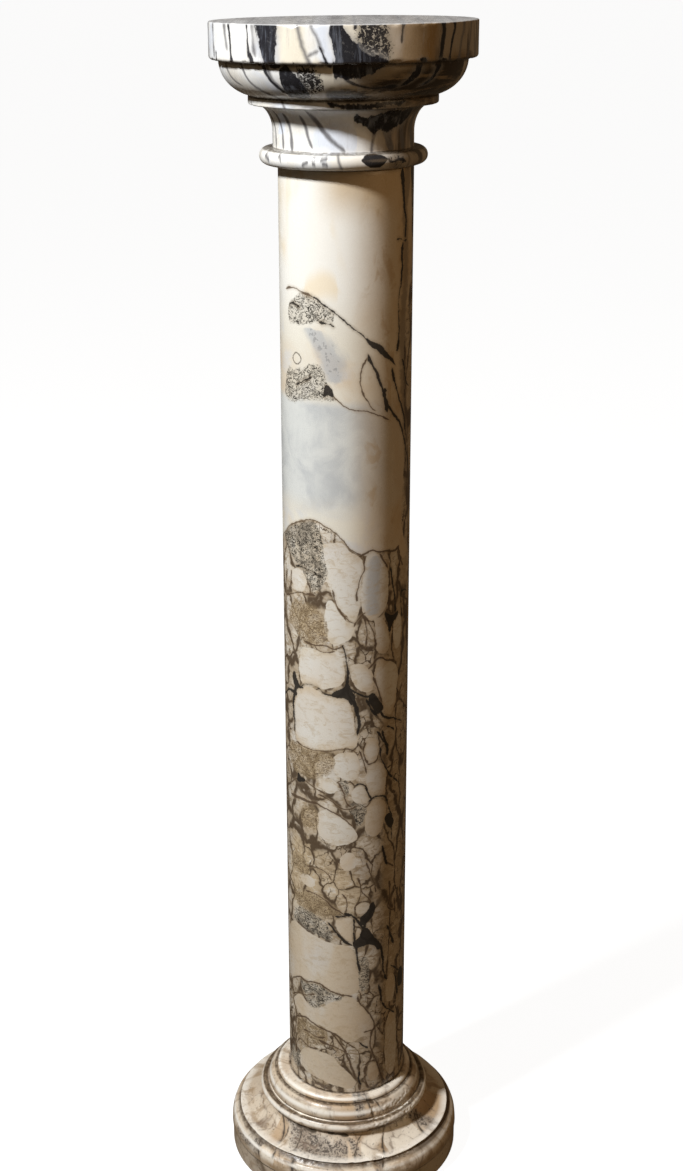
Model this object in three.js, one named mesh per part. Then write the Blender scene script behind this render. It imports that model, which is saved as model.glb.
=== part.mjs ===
// A small marble column used as a pedestal, in the plain Roman Doric manner: a round slab on a
// quarter-round echinus, a smooth straight shaft and a moulded round base.
// It was turned as three blocks of veined marble and stacked on thin plaster beds: the capital,
// the shaft and the base. Each block is one solid of revolution. The origin is the middle of the
// underside, with +Z up and the viewer at -Y. Sizes are in millimetres.
import * as THREE from "three";

// Shaft: a plain cylinder. It stands a little off the axis of the base, and so does the capital.
const shaftRadius = 57.7;
const shaftLength = 895.7;
const shaftOffset = 3;
const capitalOffset = 0.9;
const bedThickness = 0.3;

// Base, from the floor up. Each height is that member's own, and each projection is how far
// that member stands out past the one above it.
const drumHeight = 21.5;
const drumSetback = 0.7;
const drumEase = 1;
const bandHeight = 15.5;
const bandProjection = 8.8;
const bandShoulder = 5;
const bandCrown = 3.8;
const ledgeHeight = 2.2;
const ledgeProjection = 21.6;
const ledgeUndercut = 1.2;
const sweepHeight = 15.8;
const beadRoundness = 4.6;
const beadHeight = 10.4;
const beadProjection = 8.1;
const torusHeight = 13.6;
const torusProjection = 8.8;
const collarHeight = 5.2;
const collarProjection = 10;

// Capital, from the shaft up. Each projection is how far that member stands out past the neck.
const seatStep = 0.9;
const neckProjection = 1.9;
const neckHeight = 35.2;
const flareHeight = 22.6;
const flareReach = 15.2;
const astragalHeight = 13.7;
const astragalProjection = 11.7;
const annuletHeight = 7.1;
const annuletProjection = 20.2;
const annuletEase = 1.6;
const echinusHeight = 29.1;
const echinusProjection = 44.2;
const echinusTuck = 1.2;
const echinusBelly = 9.8;
const slabHeight = 29.7;
const slabProjection = 52;
const slabTopEase = 1.2;
const slabUnderEase = 2.5;

// Facets
const facetsRound = 60;
const stepsEase = 2;
const stepsSmallArc = 3;
const stepsArc = 6;
const stepsBead = 8;

const quarterTurn = 90;
const halfTurn = 180;
const point = (radius, height) => new THREE.Vector2(radius, height);

// Points along part of an ellipse in the profile plane, angles in degrees from the radius axis
function arc(centre, reach, rise, fromAngle, toAngle, steps) {
  const points = [];
  for (let i = 0; i <= steps; i += 1) {
    const angle = THREE.MathUtils.degToRad(fromAngle + ((toAngle - fromAngle) * i) / steps);
    points.push(point(centre.x + reach * Math.cos(angle), centre.y + rise * Math.sin(angle)));
  }
  return points;
}

// A convex member that swells from the radius at its ends out to its full radius
function bulge(endRadius, fullRadius, bottom, height, steps) {
  const middle = point(endRadius, bottom + height / 2);
  return arc(middle, fullRadius - endRadius, height / 2, -quarterTurn, quarterTurn, steps);
}

// A block turned about the vertical axis, from its profile listed from the bottom to the top
function turned(name, profile, material) {
  const closed = [point(0, profile[0].y), ...profile, point(0, profile[profile.length - 1].y)];
  const geometry = new THREE.LatheGeometry(closed, facetsRound);
  geometry.rotateX(Math.PI / 2);
  const mesh = new THREE.Mesh(geometry, material);
  mesh.name = name;
  return mesh;
}

const collarRadius = shaftRadius + collarProjection;
const torusRadius = collarRadius + torusProjection;
const beadRadius = torusRadius + beadProjection;
const ledgeRadius = beadRadius + ledgeProjection;
const bandRadius = ledgeRadius + bandProjection;

const bandFoot = drumHeight;
const ledgeFoot = bandFoot + bandHeight + bandCrown;
const sweepFoot = ledgeFoot + ledgeHeight;
const beadFoot = sweepFoot + sweepHeight;
const torusFoot = beadFoot + beadHeight;
const collarFoot = torusFoot + torusHeight;
const baseTop = collarFoot + collarHeight;

const shaftFoot = baseTop + bedThickness;
const capitalFoot = shaftFoot + shaftLength + bedThickness;

// The moulded foot block: drum, rounded band, undercut ledge, hollow sweep, bead, torus, collar
function baseProfile() {
  const drumRadius = bandRadius - drumSetback;
  const ledgeNeck = ledgeRadius - ledgeUndercut;
  const sweepTop = beadRadius - beadRoundness;
  const drumArris = point(drumRadius - drumEase, drumEase);
  const shoulder = point(bandRadius - bandShoulder, bandFoot);
  const hollow = point(ledgeRadius, beadFoot);
  const collarEase = point(collarRadius - collarHeight, collarFoot);
  return [
    ...arc(drumArris, drumEase, drumEase, -quarterTurn, 0, stepsEase),
    point(drumRadius, drumHeight),
    ...arc(shoulder, bandShoulder, bandHeight, 0, quarterTurn, stepsArc),
    point(ledgeNeck, ledgeFoot),
    point(ledgeRadius, ledgeFoot + ledgeHeight / 2),
    ...arc(hollow, ledgeRadius - sweepTop, sweepHeight, -quarterTurn, -halfTurn, stepsArc),
    ...bulge(sweepTop, beadRadius, beadFoot, beadHeight, stepsBead).slice(1),
    ...arc(point(collarRadius, torusFoot), torusProjection, torusHeight, 0, quarterTurn, stepsArc),
    ...arc(collarEase, collarHeight, collarHeight, 0, quarterTurn, stepsSmallArc),
  ];
}

// The top block: astragal, hollow neck, annulet, echinus and round slab
function capitalProfile() {
  const neckRadius = shaftRadius + neckProjection;
  const neckFoot = capitalFoot + seatStep + astragalHeight;
  const annuletFoot = neckFoot + neckHeight;
  const echinusFoot = annuletFoot + annuletHeight;
  const slabFoot = echinusFoot + echinusHeight;
  const slabTop = slabFoot + slabHeight;
  const astragalCore = neckRadius + astragalProjection - astragalHeight / 2;
  const annuletRadius = neckRadius + annuletProjection;
  const echinusRadius = neckRadius + echinusProjection;
  const slabRadius = neckRadius + slabProjection;
  const astragalEnd = neckRadius + astragalProjection;
  const flare = point(neckRadius + flareReach, annuletFoot - flareHeight);
  const ringEase = point(annuletRadius - annuletEase, annuletFoot + annuletEase);
  const swell = point(annuletRadius - echinusBelly, slabFoot);
  const swellReach = echinusRadius - swell.x;
  const swellAngle = Math.acos((echinusBelly - echinusTuck) / swellReach);
  const swellRise = echinusHeight / Math.sin(swellAngle);
  const swellStart = -THREE.MathUtils.radToDeg(swellAngle);
  const underEase = point(slabRadius - slabUnderEase, slabFoot + slabUnderEase);
  const topEase = point(slabRadius - slabTopEase, slabTop - slabTopEase);
  return [
    point(neckRadius, capitalFoot),
    point(neckRadius, capitalFoot + seatStep),
    ...bulge(astragalCore, astragalEnd, capitalFoot + seatStep, astragalHeight, stepsBead),
    point(neckRadius, neckFoot),
    ...arc(flare, -flareReach, flareHeight, 0, quarterTurn, stepsArc),
    ...arc(ringEase, annuletEase, annuletEase, -quarterTurn, 0, stepsEase),
    point(annuletRadius, echinusFoot),
    ...arc(swell, swellReach, swellRise, swellStart, 0, stepsBead),
    ...arc(underEase, slabUnderEase, slabUnderEase, -quarterTurn, 0, stepsSmallArc),
    ...arc(topEase, slabTopEase, slabTopEase, 0, quarterTurn, stepsEase),
  ];
}

// The veined marble of each block, polished to a soft gloss
const capitalMarble = new THREE.MeshStandardMaterial({ color: 0xd9d6cf, roughness: 0.24, metalness: 0 });
const shaftMarble = new THREE.MeshStandardMaterial({ color: 0xc9c0b2, roughness: 0.26, metalness: 0 });
const baseMarble = new THREE.MeshStandardMaterial({ color: 0xc4b59c, roughness: 0.32, metalness: 0 });

const base = turned("base", baseProfile(), baseMarble);

const shaftEnds = [point(shaftRadius, shaftFoot), point(shaftRadius, shaftFoot + shaftLength)];
const shaft = turned("shaft", shaftEnds, shaftMarble);
shaft.position.x = shaftOffset;

const capital = turned("capital", capitalProfile(), capitalMarble);
capital.position.x = capitalOffset;

const column = new THREE.Group();
column.add(base, shaft, capital);

export default column;
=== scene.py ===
import math

import bmesh
import bpy
from mathutils import Matrix, Vector, noise


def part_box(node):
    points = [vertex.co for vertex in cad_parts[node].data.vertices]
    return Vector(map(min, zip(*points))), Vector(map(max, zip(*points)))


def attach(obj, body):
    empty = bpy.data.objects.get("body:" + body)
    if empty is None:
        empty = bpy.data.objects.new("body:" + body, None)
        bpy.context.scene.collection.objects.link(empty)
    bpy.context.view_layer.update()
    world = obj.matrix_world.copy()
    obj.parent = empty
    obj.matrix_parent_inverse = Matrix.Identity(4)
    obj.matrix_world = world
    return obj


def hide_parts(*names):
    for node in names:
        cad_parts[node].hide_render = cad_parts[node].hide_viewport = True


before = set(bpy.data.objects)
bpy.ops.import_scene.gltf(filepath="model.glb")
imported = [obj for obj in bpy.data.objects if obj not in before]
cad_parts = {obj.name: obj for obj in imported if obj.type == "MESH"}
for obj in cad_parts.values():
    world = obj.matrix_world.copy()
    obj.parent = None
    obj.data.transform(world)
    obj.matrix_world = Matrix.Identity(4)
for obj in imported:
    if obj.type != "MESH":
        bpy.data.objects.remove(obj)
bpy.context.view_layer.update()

# The camera stands a metre and a half in front of the column, a little above its top, and looks
# down its length. The picture is taller than wide and its frame sits to the left of the lens
# axis, so the lens is shifted by that much.
camera_distance = 1.48385
camera_height = 1.14844
camera_pitch = math.radians(20.135)
camera_yaw = math.radians(1.527)
camera_roll = math.radians(-0.606)
picture_width = 683
picture_height = 1171
focal_pixels = 1713.77
lens_axis_pixel = 300
sensor = 36
camera_data = bpy.data.cameras.new("camera")
camera_data.sensor_fit = "VERTICAL"
camera_data.sensor_height = sensor
camera_data.sensor_width = sensor
camera_data.lens = focal_pixels / picture_height * sensor
camera_data.shift_x = (picture_width / 2 - lens_axis_pixel) / picture_height
camera = bpy.data.objects.new("camera", camera_data)
bpy.context.scene.collection.objects.link(camera)
turn = Matrix.Rotation(camera_yaw, 4, "Z") @ Matrix.Rotation(math.pi / 2 - camera_pitch, 4, "X")
turn = turn @ Matrix.Rotation(camera_roll, 4, "Z")
camera.matrix_world = Matrix.Translation((0, -camera_distance, camera_height)) @ turn
bpy.context.scene.camera = camera

# The studio: a plain pale floor that shines a little by itself and throws no light back on the
# marble, a dim warm room, a small bright lamp high on the left in front, and a broad weak warm
# one on the right, like light thrown back by a wall.
floor_span = 120
floor_mesh = bpy.data.meshes.new("floor")
floor_form = bmesh.new()
bmesh.ops.create_grid(floor_form, x_segments=1, y_segments=1, size=floor_span / 2)
floor_form.to_mesh(floor_mesh)
floor_form.free()
floor = bpy.data.objects.new("floor", floor_mesh)
bpy.context.scene.collection.objects.link(floor)
floor.visible_diffuse = False
floor.visible_glossy = False
floor_paint = bpy.data.materials.new("pale floor")
floor_paint.use_nodes = True
floor_shader = floor_paint.node_tree.nodes["Principled BSDF"]
floor_shader.inputs["Base Color"].default_value = (0.25, 0.25, 0.25, 1)
floor_shader.inputs["Roughness"].default_value = 0.9
floor_shader.inputs["Specular IOR Level"].default_value = 0
floor_shader.inputs["Emission Color"].default_value = (1, 1, 1, 1)
floor_shader.inputs["Emission Strength"].default_value = 0.95
floor_mesh.materials.append(floor_paint)

room = bpy.data.worlds.new("dim warm room")
bpy.context.scene.world = room
room.use_nodes = True
room_light = room.node_tree.nodes["Background"]
room_light.inputs["Color"].default_value = (1.0, 0.70, 0.42, 1)
room_light.inputs["Strength"].default_value = 0.05


def lamp(name, size, power, colour, azimuth, elevation, distance, aim):
    # azimuth is the angle from the viewer, to the right; azimuth and elevation in degrees
    bulb = bpy.data.lights.new(name, "AREA")
    bulb.shape = "DISK"
    bulb.size = size
    bulb.energy = power
    bulb.color = colour
    swing = math.radians(azimuth)
    rise = math.radians(elevation)
    level = math.cos(rise) * distance
    offset = Vector((math.sin(swing) * level, -math.cos(swing) * level, math.sin(rise) * distance))
    light = bpy.data.objects.new(name, bulb)
    light.location = aim + offset
    light.rotation_euler = (-offset).to_track_quat("-Z", "Y").to_euler()
    bpy.context.scene.collection.objects.link(light)


column_head = Vector((0, 0, 0.98))
column_waist = Vector((0, 0, 0.5))
lamp("high_lamp", size=0.3, power=99, colour=(0.98, 0.99, 1.0), azimuth=-50, elevation=38.5, distance=2.4,
     aim=column_head)
lamp("warm_wall", size=1.6, power=9.5, colour=(1.0, 0.67, 0.37), azimuth=52, elevation=26, distance=2.5,
     aim=column_waist)

bpy.context.scene.view_settings.view_transform = "Standard"

# The base, the bottom block: a drum, a rounded band over it, an undercut ledge, a hollow sweep,
# a bead, a torus and a collar, turned from one piece of veined marble. It stands on the floor.
mm = 0.001
base_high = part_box("base")[1]
base_top = base_high.z / mm
rim_radius = base_high.x / mm
shaft_radius = 57.7
shaft_offset = 3
collar_radius = shaft_radius + 10
collar_height = 5.2
torus_radius = collar_radius + 8.8
torus_height = 13.6
bead_radius = torus_radius + 8.1
bead_height = 10.4
bead_roundness = 4.6
sweep_height = 15.8
ledge_radius = bead_radius + 21.6
ledge_height = 2.2
ledge_undercut = 1.2
band_shoulder = 5
band_height = 15.5
drum_height = 21.5
drum_setback = 0.7
drum_ease = 1
groove_depth = 1.8
groove_inset = 0.6
torus_inset = 0.8
torus_lift = 0.3
torus_spring = 0.4
torus_close = 82
collar_inset = 0.9
collar_gap = 0.1
base_spacing = 1.2
base_steps = 450


def arc(centre, reach, rise, start, end, steps):
    # points along part of an ellipse in the profile plane, angles in degrees from the radius axis
    points = []
    for step in range(steps + 1):
        angle = math.radians(start + (end - start) * step / steps)
        points.append((centre[0] + reach * math.cos(angle), centre[1] + rise * math.sin(angle)))
    return points


def divided(profile, spacing):
    # the same profile with points added, so that no stretch is longer than the spacing
    shortest = 0.01
    points = [profile[0]]
    for start, end in zip(profile, profile[1:]):
        length = math.dist(start, end)
        if length < shortest:
            continue
        parts = max(1, math.ceil(length / spacing))
        for part in range(1, parts + 1):
            share = part / parts
            points.append((start[0] + (end[0] - start[0]) * share,
                           start[1] + (end[1] - start[1]) * share))
    return points


def turned(name, profile, steps, axis_x=0.0):
    # a block turned on the vertical axis from its profile in mm, listed from the bottom up
    weld = 0.00001
    form = bmesh.new()
    closed = [(0, profile[0][1])] + profile + [(0, profile[-1][1])]
    verts = [form.verts.new((r * mm, 0, z * mm)) for r, z in closed]
    edges = [form.edges.new(pair) for pair in zip(verts, verts[1:])]
    bmesh.ops.spin(form, geom=verts + edges, axis=(0, 0, 1), cent=(0, 0, 0), steps=steps, angle=math.tau,
                   use_merge=True)
    bmesh.ops.remove_doubles(form, verts=form.verts, dist=weld)
    bmesh.ops.translate(form, verts=form.verts, vec=(axis_x * mm, 0, 0))
    bmesh.ops.recalc_face_normals(form, faces=form.faces)
    for face in form.faces:
        face.smooth = True
    mesh = bpy.data.meshes.new(name)
    form.to_mesh(mesh)
    form.free()
    piece = bpy.data.objects.new(name, mesh)
    bpy.context.scene.collection.objects.link(piece)
    return piece


collar_foot = base_top - collar_height
torus_foot = collar_foot - torus_height
bead_foot = torus_foot - bead_height
sweep_foot = bead_foot - sweep_height
ledge_foot = sweep_foot - ledge_height
sweep_top = bead_radius - bead_roundness
drum_radius = rim_radius - drum_setback
base_profile = arc((drum_radius - drum_ease, drum_ease), drum_ease, drum_ease, -90, 0, 4)
base_profile += [(drum_radius, drum_height)]
base_profile += arc((rim_radius - band_shoulder, drum_height), band_shoulder, band_height, 0, 90, 16)
base_profile += [(ledge_radius - ledge_undercut, ledge_foot),
                 (ledge_radius, ledge_foot + ledge_height / 2)]
base_profile += arc((ledge_radius, bead_foot), ledge_radius - sweep_top, sweep_height, -90, -180, 24)
base_profile += arc((sweep_top, bead_foot + bead_height / 2), bead_roundness, bead_height / 2, -90, 90,
                    24)[1:]
base_profile += [(torus_radius - groove_inset, torus_foot - groove_depth)]
base_profile += [(torus_radius - torus_inset, torus_foot + torus_lift)]
base_profile += arc((collar_radius, torus_foot + torus_spring), torus_radius - collar_radius,
                    torus_height - torus_spring, 0, torus_close, 20)
base_profile += [(collar_radius - collar_inset, collar_foot - collar_gap)]
base_profile += arc((collar_radius - collar_height, collar_foot), collar_height, collar_height, 0, 90, 10)
base = turned("base_block", divided(base_profile, base_spacing), base_steps)


class Marble:
    # The marble of one block. A place on it is read as the run round the block and the height,
    # both in metres and both shaken a little by noise, so that no vein is a smooth line.
    def __init__(self, name, radius, middle_x, shake):
        self.material = bpy.data.materials.new(name)
        self.material.use_nodes = True
        self.tree = self.material.node_tree
        self.shader = self.tree.nodes["Principled BSDF"]
        self.radius = radius
        self.colour = None
        self.place = self.node("TexCoord").outputs["Object"]
        rough = self.noise_node(70, 6, 0.68).outputs["Color"]
        part = self.node("SeparateColor", {"Color": rough})
        axes = self.node("SeparateXYZ", {"Vector": self.place})
        self.x = axes.outputs["X"]
        self.level = axes.outputs["Z"]
        across = self.calc("SUBTRACT", self.x, middle_x * mm)
        towards = self.calc("MULTIPLY", axes.outputs["Y"], -1)
        self.turn = self.calc("ARCTAN2", across, towards)
        # one round the front and the sides, nought where the run ends at the back
        self.front = self.spread(self.calc("ABSOLUTE", self.turn), math.radians(170), math.radians(115))
        self.shake_run = self.calc("MULTIPLY_ADD", part.outputs["Red"], shake * mm, -shake * mm / 2)
        self.shake_rise = self.calc("MULTIPLY_ADD", part.outputs["Green"], shake * mm, -shake * mm / 2)
        self.run = self.calc("MULTIPLY_ADD", self.turn, radius * mm, self.shake_run)
        self.height = self.calc("ADD", self.level, self.shake_rise)

    def node(self, kind, sockets=(), **settings):
        made = self.tree.nodes.new("ShaderNode" + kind)
        for name, value in settings.items():
            setattr(made, name, value)
        for name, value in dict(sockets).items():
            if isinstance(value, bpy.types.NodeSocket):
                self.tree.links.new(value, made.inputs[name])
            else:
                made.inputs[name].default_value = value
        return made

    def calc(self, operation, *terms):
        return self.node("Math", enumerate(terms), operation=operation).outputs[0]

    def times(self, first, second):
        return self.calc("MULTIPLY", first, second)

    def mix(self, share, first, second):
        first, second = ((*tint, 1) if isinstance(tint, tuple) else tint for tint in (first, second))
        return self.node("Mix", {0: share, 6: first, 7: second}, data_type="RGBA").outputs[2]

    def spread(self, value, low, high, to_low=0.0, to_high=1.0):
        sockets = {"Value": value, "From Min": low, "From Max": high, "To Min": to_low, "To Max": to_high}
        return self.node("MapRange", sockets, interpolation_type="SMOOTHSTEP").outputs[0]

    def sideways(self, start, end, low=0.0, high=1.0):
        # goes from low to high between two angles round the block, in degrees
        return self.spread(self.run, self.run_of(start), self.run_of(end), low, high)

    def near_level(self, height, reach, core):
        # one at a height and nought from a reach above and below it on, all in mm
        gap = self.calc("ABSOLUTE", self.calc("SUBTRACT", self.level, height * mm))
        return self.spread(gap, reach * mm, core * mm)

    def noise_node(self, scale, detail=2.0, roughness=0.5, stretch=(1, 1, 1), bend=0.0, shift=(0, 0, 0)):
        place = self.node("Mapping", {"Vector": self.place, "Scale": stretch, "Location": shift})
        sockets = {"Vector": place.outputs[0], "Scale": scale, "Detail": detail, "Roughness": roughness,
                   "Distortion": bend}
        return self.node("TexNoise", sockets)

    def noise(self, *terms, **settings):
        return self.noise_node(*terms, **settings).outputs[0]

    def curve(self, value, points, bend="AUTO"):
        # a curve through the points, both coordinates in metres, flat beyond its ends
        made = self.node("FloatCurve", {"Value": value})
        mapping = made.mapping
        mapping.use_clip = False
        # opened wide first, since neither limit can be set past the other
        mapping.clip_min_x = -100
        mapping.clip_max_x = 100
        mapping.clip_min_x = points[0][0]
        mapping.clip_max_x = points[-1][0]
        line = mapping.curves[0]
        while len(line.points) < len(points):
            line.points.new(points[-1][0], 0)
        for knot, spot in zip(line.points, points):
            knot.location = spot
            knot.handle_type = bend
        mapping.update()
        return made.outputs[0]

    def run_of(self, angle):
        return math.radians(angle) * self.radius * mm

    def vein(self, width, route):
        # How far a place lies inside a vein, below nought outside it. The route is listed as angle
        # round the block and height in mm, and the width in mm is one value or one at each point.
        spots = [(self.run_of(angle), height * mm) for angle, height in route]
        widths = width if isinstance(width, (list, tuple)) else [width] * len(route)
        runs = abs(spots[-1][0] - spots[0][0])
        rises = abs(spots[-1][1] - spots[0][1])
        upright = rises > runs
        if upright:
            along = [spot[1] for spot in spots]
            off = [spot[0] for spot in spots]
        else:
            along = [spot[0] for spot in spots]
            off = [spot[1] for spot in spots]
        if along[0] > along[-1]:
            along.reverse()
            off.reverse()
            widths = list(reversed(widths))
        halves = []
        last = len(along) - 1
        for i in range(last + 1):
            before = max(0, i - 1)
            after = min(last, i + 1)
            slope = (off[after] - off[before]) / (along[after] - along[before])
            halves.append((along[i], widths[i] / 2 * mm * math.hypot(1, slope)))
        fade = min(1.5 * mm, (along[1] - along[0]) / 2, (along[last] - along[last - 1]) / 2)
        # past its ends a vein runs out fast, and a soft one over a further stretch
        outside = -1.5 * mm
        far_outside = -15 * mm
        stretch = 12 * mm
        start = [(along[0] - fade - stretch, far_outside), (along[0] - fade, outside)]
        end = [(along[last] + fade, outside), (along[last] + fade + stretch, far_outside)]
        value = self.height if upright else self.run
        other = self.run if upright else self.height
        middle = self.curve(value, list(zip(along, off)))
        half = self.curve(value, start + halves + end)
        gap = self.calc("ABSOLUTE", self.calc("SUBTRACT", other, middle))
        return self.calc("SUBTRACT", half, gap)

    def patch(self, lower, upper, bend="AUTO"):
        # How far a place lies inside a patch between two edges, listed as angle and height in mm.
        # The edges cross at its ends.
        crossing = 1.5 * mm
        fields = []
        for edge, sign in ((lower, 1), (upper, -1)):
            spots = [(self.run_of(angle), height * mm) for angle, height in edge]
            step = (spots[-1][0] - spots[0][0]) * 0.01
            first = (spots[0][0] - step, spots[0][1] + sign * crossing)
            final = (spots[-1][0] + step, spots[-1][1] + sign * crossing)
            limit = self.curve(self.run, [first] + spots + [final], bend)
            if sign > 0:
                fields.append(self.calc("SUBTRACT", self.height, limit))
            else:
                fields.append(self.calc("SUBTRACT", limit, self.height))
        return self.calc("MINIMUM", *fields)

    def any_of(self, fields):
        widest = fields[0]
        for field in fields[1:]:
            widest = self.calc("MAXIMUM", widest, field)
        return widest

    def veins(self, rows):
        return self.any_of([self.vein(*row) for row in rows])

    def patches(self, rows):
        return self.any_of([self.patch(*row) for row in rows])

    def ragged(self, field, noise_field, reach, back):
        # gives a vein or a patch ragged edges, that wander by a reach in mm
        return self.calc("ADD", field, self.calc("MULTIPLY_ADD", noise_field, reach * mm, -back * mm))

    def ground(self, pale, warm, cool):
        # the ground of the stone: pale, clouded with a warm tint and a cool one
        cloud = self.noise(13, 4, 0.55, bend=0.7)
        drift = self.noise(24, 4, 0.6, bend=0.5, shift=(3, 1, 2))
        colour = self.mix(self.spread(cloud, 0.42, 0.66), pale, warm)
        self.colour = self.mix(self.spread(drift, 0.5, 0.72), colour, cool)

    def paint(self, share, colour):
        # lays a colour over the stone, as thickly at each place as the share says
        self.colour = self.mix(share, self.colour, colour)

    def lay(self, field, low, high, most, colour):
        # paints where a field passes from low to high, both in mm, up to a share of the colour
        self.paint(self.spread(field, low * mm, high * mm, 0, most), colour)

    def broken(self, scale, stretch, wander, thin, thick):
        # Broken stone, pale fragments with dark seams between them. Gives how much of a place is
        # seam, how much it lies beside one, and a random number for each fragment.
        bend = self.noise_node(scale * 0.8, 3, 0.6, shift=(1, 4, 2))
        place = self.node("Mapping", {"Vector": self.place, "Scale": stretch}).outputs[0]
        sockets = {0: bend.outputs["Color"], 1: (wander * mm,) * 3, 2: place}
        place = self.node("VectorMath", sockets, operation="MULTIPLY_ADD").outputs[0]
        sockets = {"Vector": place, "Scale": scale}
        edge = self.node("TexVoronoi", sockets, feature="DISTANCE_TO_EDGE").outputs["Distance"]
        cell = self.node("TexVoronoi", sockets, feature="F1").outputs["Color"]
        swell = self.noise(scale * 0.7, 2, 0.6, shift=(5, 2, 1))
        limit = self.spread(swell, 0.35, 0.7, thin, thick)
        gap = self.calc("DIVIDE", edge, limit)
        seam = self.spread(gap, 1.0, 0.25)
        beside = self.spread(gap, 4.0, 0.6)
        return seam, beside, self.node("SeparateColor", {"Color": cell}).outputs["Red"]

    def speckle(self, scale, stretch, low, high):
        # fine threads and grains of dark mineral
        threads = self.noise(scale, 3, 0.65, stretch, bend=1.2, shift=(2, 5, 3))
        ridge = self.calc("ABSOLUTE", self.calc("SUBTRACT", threads, 0.5))
        grains = self.noise(scale * 1.9, 2, 0.7, stretch, shift=(7, 2, 4))
        share = self.calc("SUBTRACT", 1.0, self.spread(ridge, low, high))
        return self.calc("MAXIMUM", share, self.spread(grains, 0.56, 0.66))

    def finish(self, field, low, high, relief, matt=0.0):
        # the colour, a gloss that follows a noise field between two roughnesses, and a slight
        # relief in the skin of the stone from the same field; pitted places are matt
        self.tree.links.new(self.colour, self.shader.inputs["Base Color"])
        gloss = self.calc("MAXIMUM", self.spread(field, 0.3, 0.7, low, high), matt)
        self.tree.links.new(gloss, self.shader.inputs["Roughness"])
        bump = self.node("Bump", {"Height": field, "Strength": relief, "Distance": 0.6 * mm})
        self.tree.links.new(bump.outputs["Normal"], self.shader.inputs["Normal"])


def eased(value, low, high):
    # nought at low, one at high and a soft step between them, whichever of the two is larger
    share = min(1.0, max(0.0, (value - low) / (high - low)))
    return share * share * (3 - 2 * share)


def dent(place, angle, height, reach, tall):
    # one in the middle of a dent, nought at its rim; angles in degrees, the rest in mm
    turn_off = math.degrees(math.atan2(place.x, -place.y)) - angle
    return max(0.0, 1 - (turn_off / reach) ** 2 - ((place.z / mm - height) / tall) ** 2)


def worn(piece, depth_at):
    # presses the skin of a block in by the depth in mm that depth_at gives for each place on it
    mesh = piece.data
    inward = [vert.normal * -mm for vert in mesh.vertices]
    for vert, way in zip(mesh.vertices, inward):
        vert.co += way * depth_at(vert.co)


# Its chips, as angle from the front and height, reach in degrees and in mm, and depth. Its pitted
# zones, as a share and the angles and heights between which each side of the zone fades in.
base_chips = [(19, 41.6, 4.5, 2.2, 3.2), (12, 41.4, 3, 1.2, 1.2), (19, 61, 2.6, 2.4, 2.6),
              (27, 60.4, 7, 1.8, 2.2), (35, 61, 3, 2.2, 2.0), (-34, 66, 4, 3, 1.0),
              (-29, 41.4, 2, 1, 0.8), (4, 41.4, 2, 1, 0.9), (44, 41.6, 5, 1.2, 1.0), (23, 74, 2, 6, 1.2),
              (-58, 41.6, 3, 1, 0.6), (150, 41.6, 4, 1.4, 1.6), (-130, 62, 5, 2.4, 1.6)]
base_pitted = [(1, (14, 22), (66, 54), (58, 61), (83, 76)),
               (0.5, (-42, -36), (-14, -20), (42, 44), (56, 52))]
seat_height = 1


def base_wear(place):
    angle = math.degrees(math.atan2(place.x, -place.y))
    height = place.z / mm
    if height < seat_height:
        return 0.0
    pitted = 0.0
    for share, left, right, foot, head in base_pitted:
        across = share * eased(angle, *left) * eased(angle, *right)
        pitted += across * eased(height, *foot) * eased(height, *head)
    pits = max(0.0, noise.noise(place * 330)) + 0.6 * max(0.0, noise.noise(place * 700))
    depth = 0.3 * max(0.0, noise.noise(place * 60)) + 1.5 * pitted * pits
    for where, level, reach, tall, deep in base_chips:
        ragged = 1 + 0.5 * noise.noise(place * 300)
        depth += deep * dent(place, where, level, reach, tall) * ragged
    return depth


worn(base, base_wear)

# its marble: the ground and its fragments, stains, then pale and rusty places
stone = Marble("base marble", ledge_radius, middle_x=0, shake=5)
stone.ground((0.70, 0.60, 0.47), (0.58, 0.43, 0.28), (0.63, 0.58, 0.50))
seam, beside, cell = stone.broken(24, (1, 1, 0.8), wander=42, thin=0.006, thick=0.05)
stone.paint(stone.spread(cell, 0.5, 0.9, 0, 0.5), (0.82, 0.74, 0.62))
stone.paint(stone.spread(cell, 0.4, 0.1, 0, 0.4), (0.46, 0.35, 0.24))
stain = stone.noise(42, 6, 0.66, bend=1.0, shift=(8, 2, 1))
mottle = stone.noise(170, 5, 0.7, bend=0.8, shift=(2, 2, 5))
stone.paint(stone.spread(stain, 0.5, 0.64, 0, 0.7), (0.34, 0.23, 0.13))
stone.paint(stone.spread(mottle, 0.55, 0.75, 0, 0.5), (0.30, 0.22, 0.15))
# pale fragments, with painted highlights on the top of the collar on the right and on the torus at the
# front left
base_pale_and_highlights = [
    ([10, 9, 8], [(-36, 57), (-33.6, 50), (-32, 42)]),
    ([8, 9, 8], [(11, 43), (19, 50), (29, 58)]),
    ([9, 14, 14, 8], [(27, 46), (34, 49), (44, 49), (52, 48)]),
    ([8, 10, 8], [(-46, 30), (-42, 33), (-38, 31)]),
    ([4, 5, 5, 4], [(24, 87), (38, 87), (56, 87), (70, 87)]),
    ([5, 7, 7, 5], [(-30, 77), (-22, 76), (-12, 75), (-8, 75)]),
]
stone.lay(stone.veins(base_pale_and_highlights), -3, 2.5, 0.8, (0.86, 0.79, 0.67))
base_rust = [
    ([6, 8, 6], [(-6, 74), (2, 73), (9, 74)]),
    ([5, 7, 7, 5], [(-34, 85), (-18, 85), (-4, 85), (8, 85)]),
    ([10, 12, 8], [(-50, 54), (-44, 48), (-40, 43)]),
    ([8, 14, 14], [(60, 54), (72, 50), (90, 48)]),
]
stone.lay(stone.veins(base_rust), -4, 3, 0.8, (0.50, 0.35, 0.21))

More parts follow.
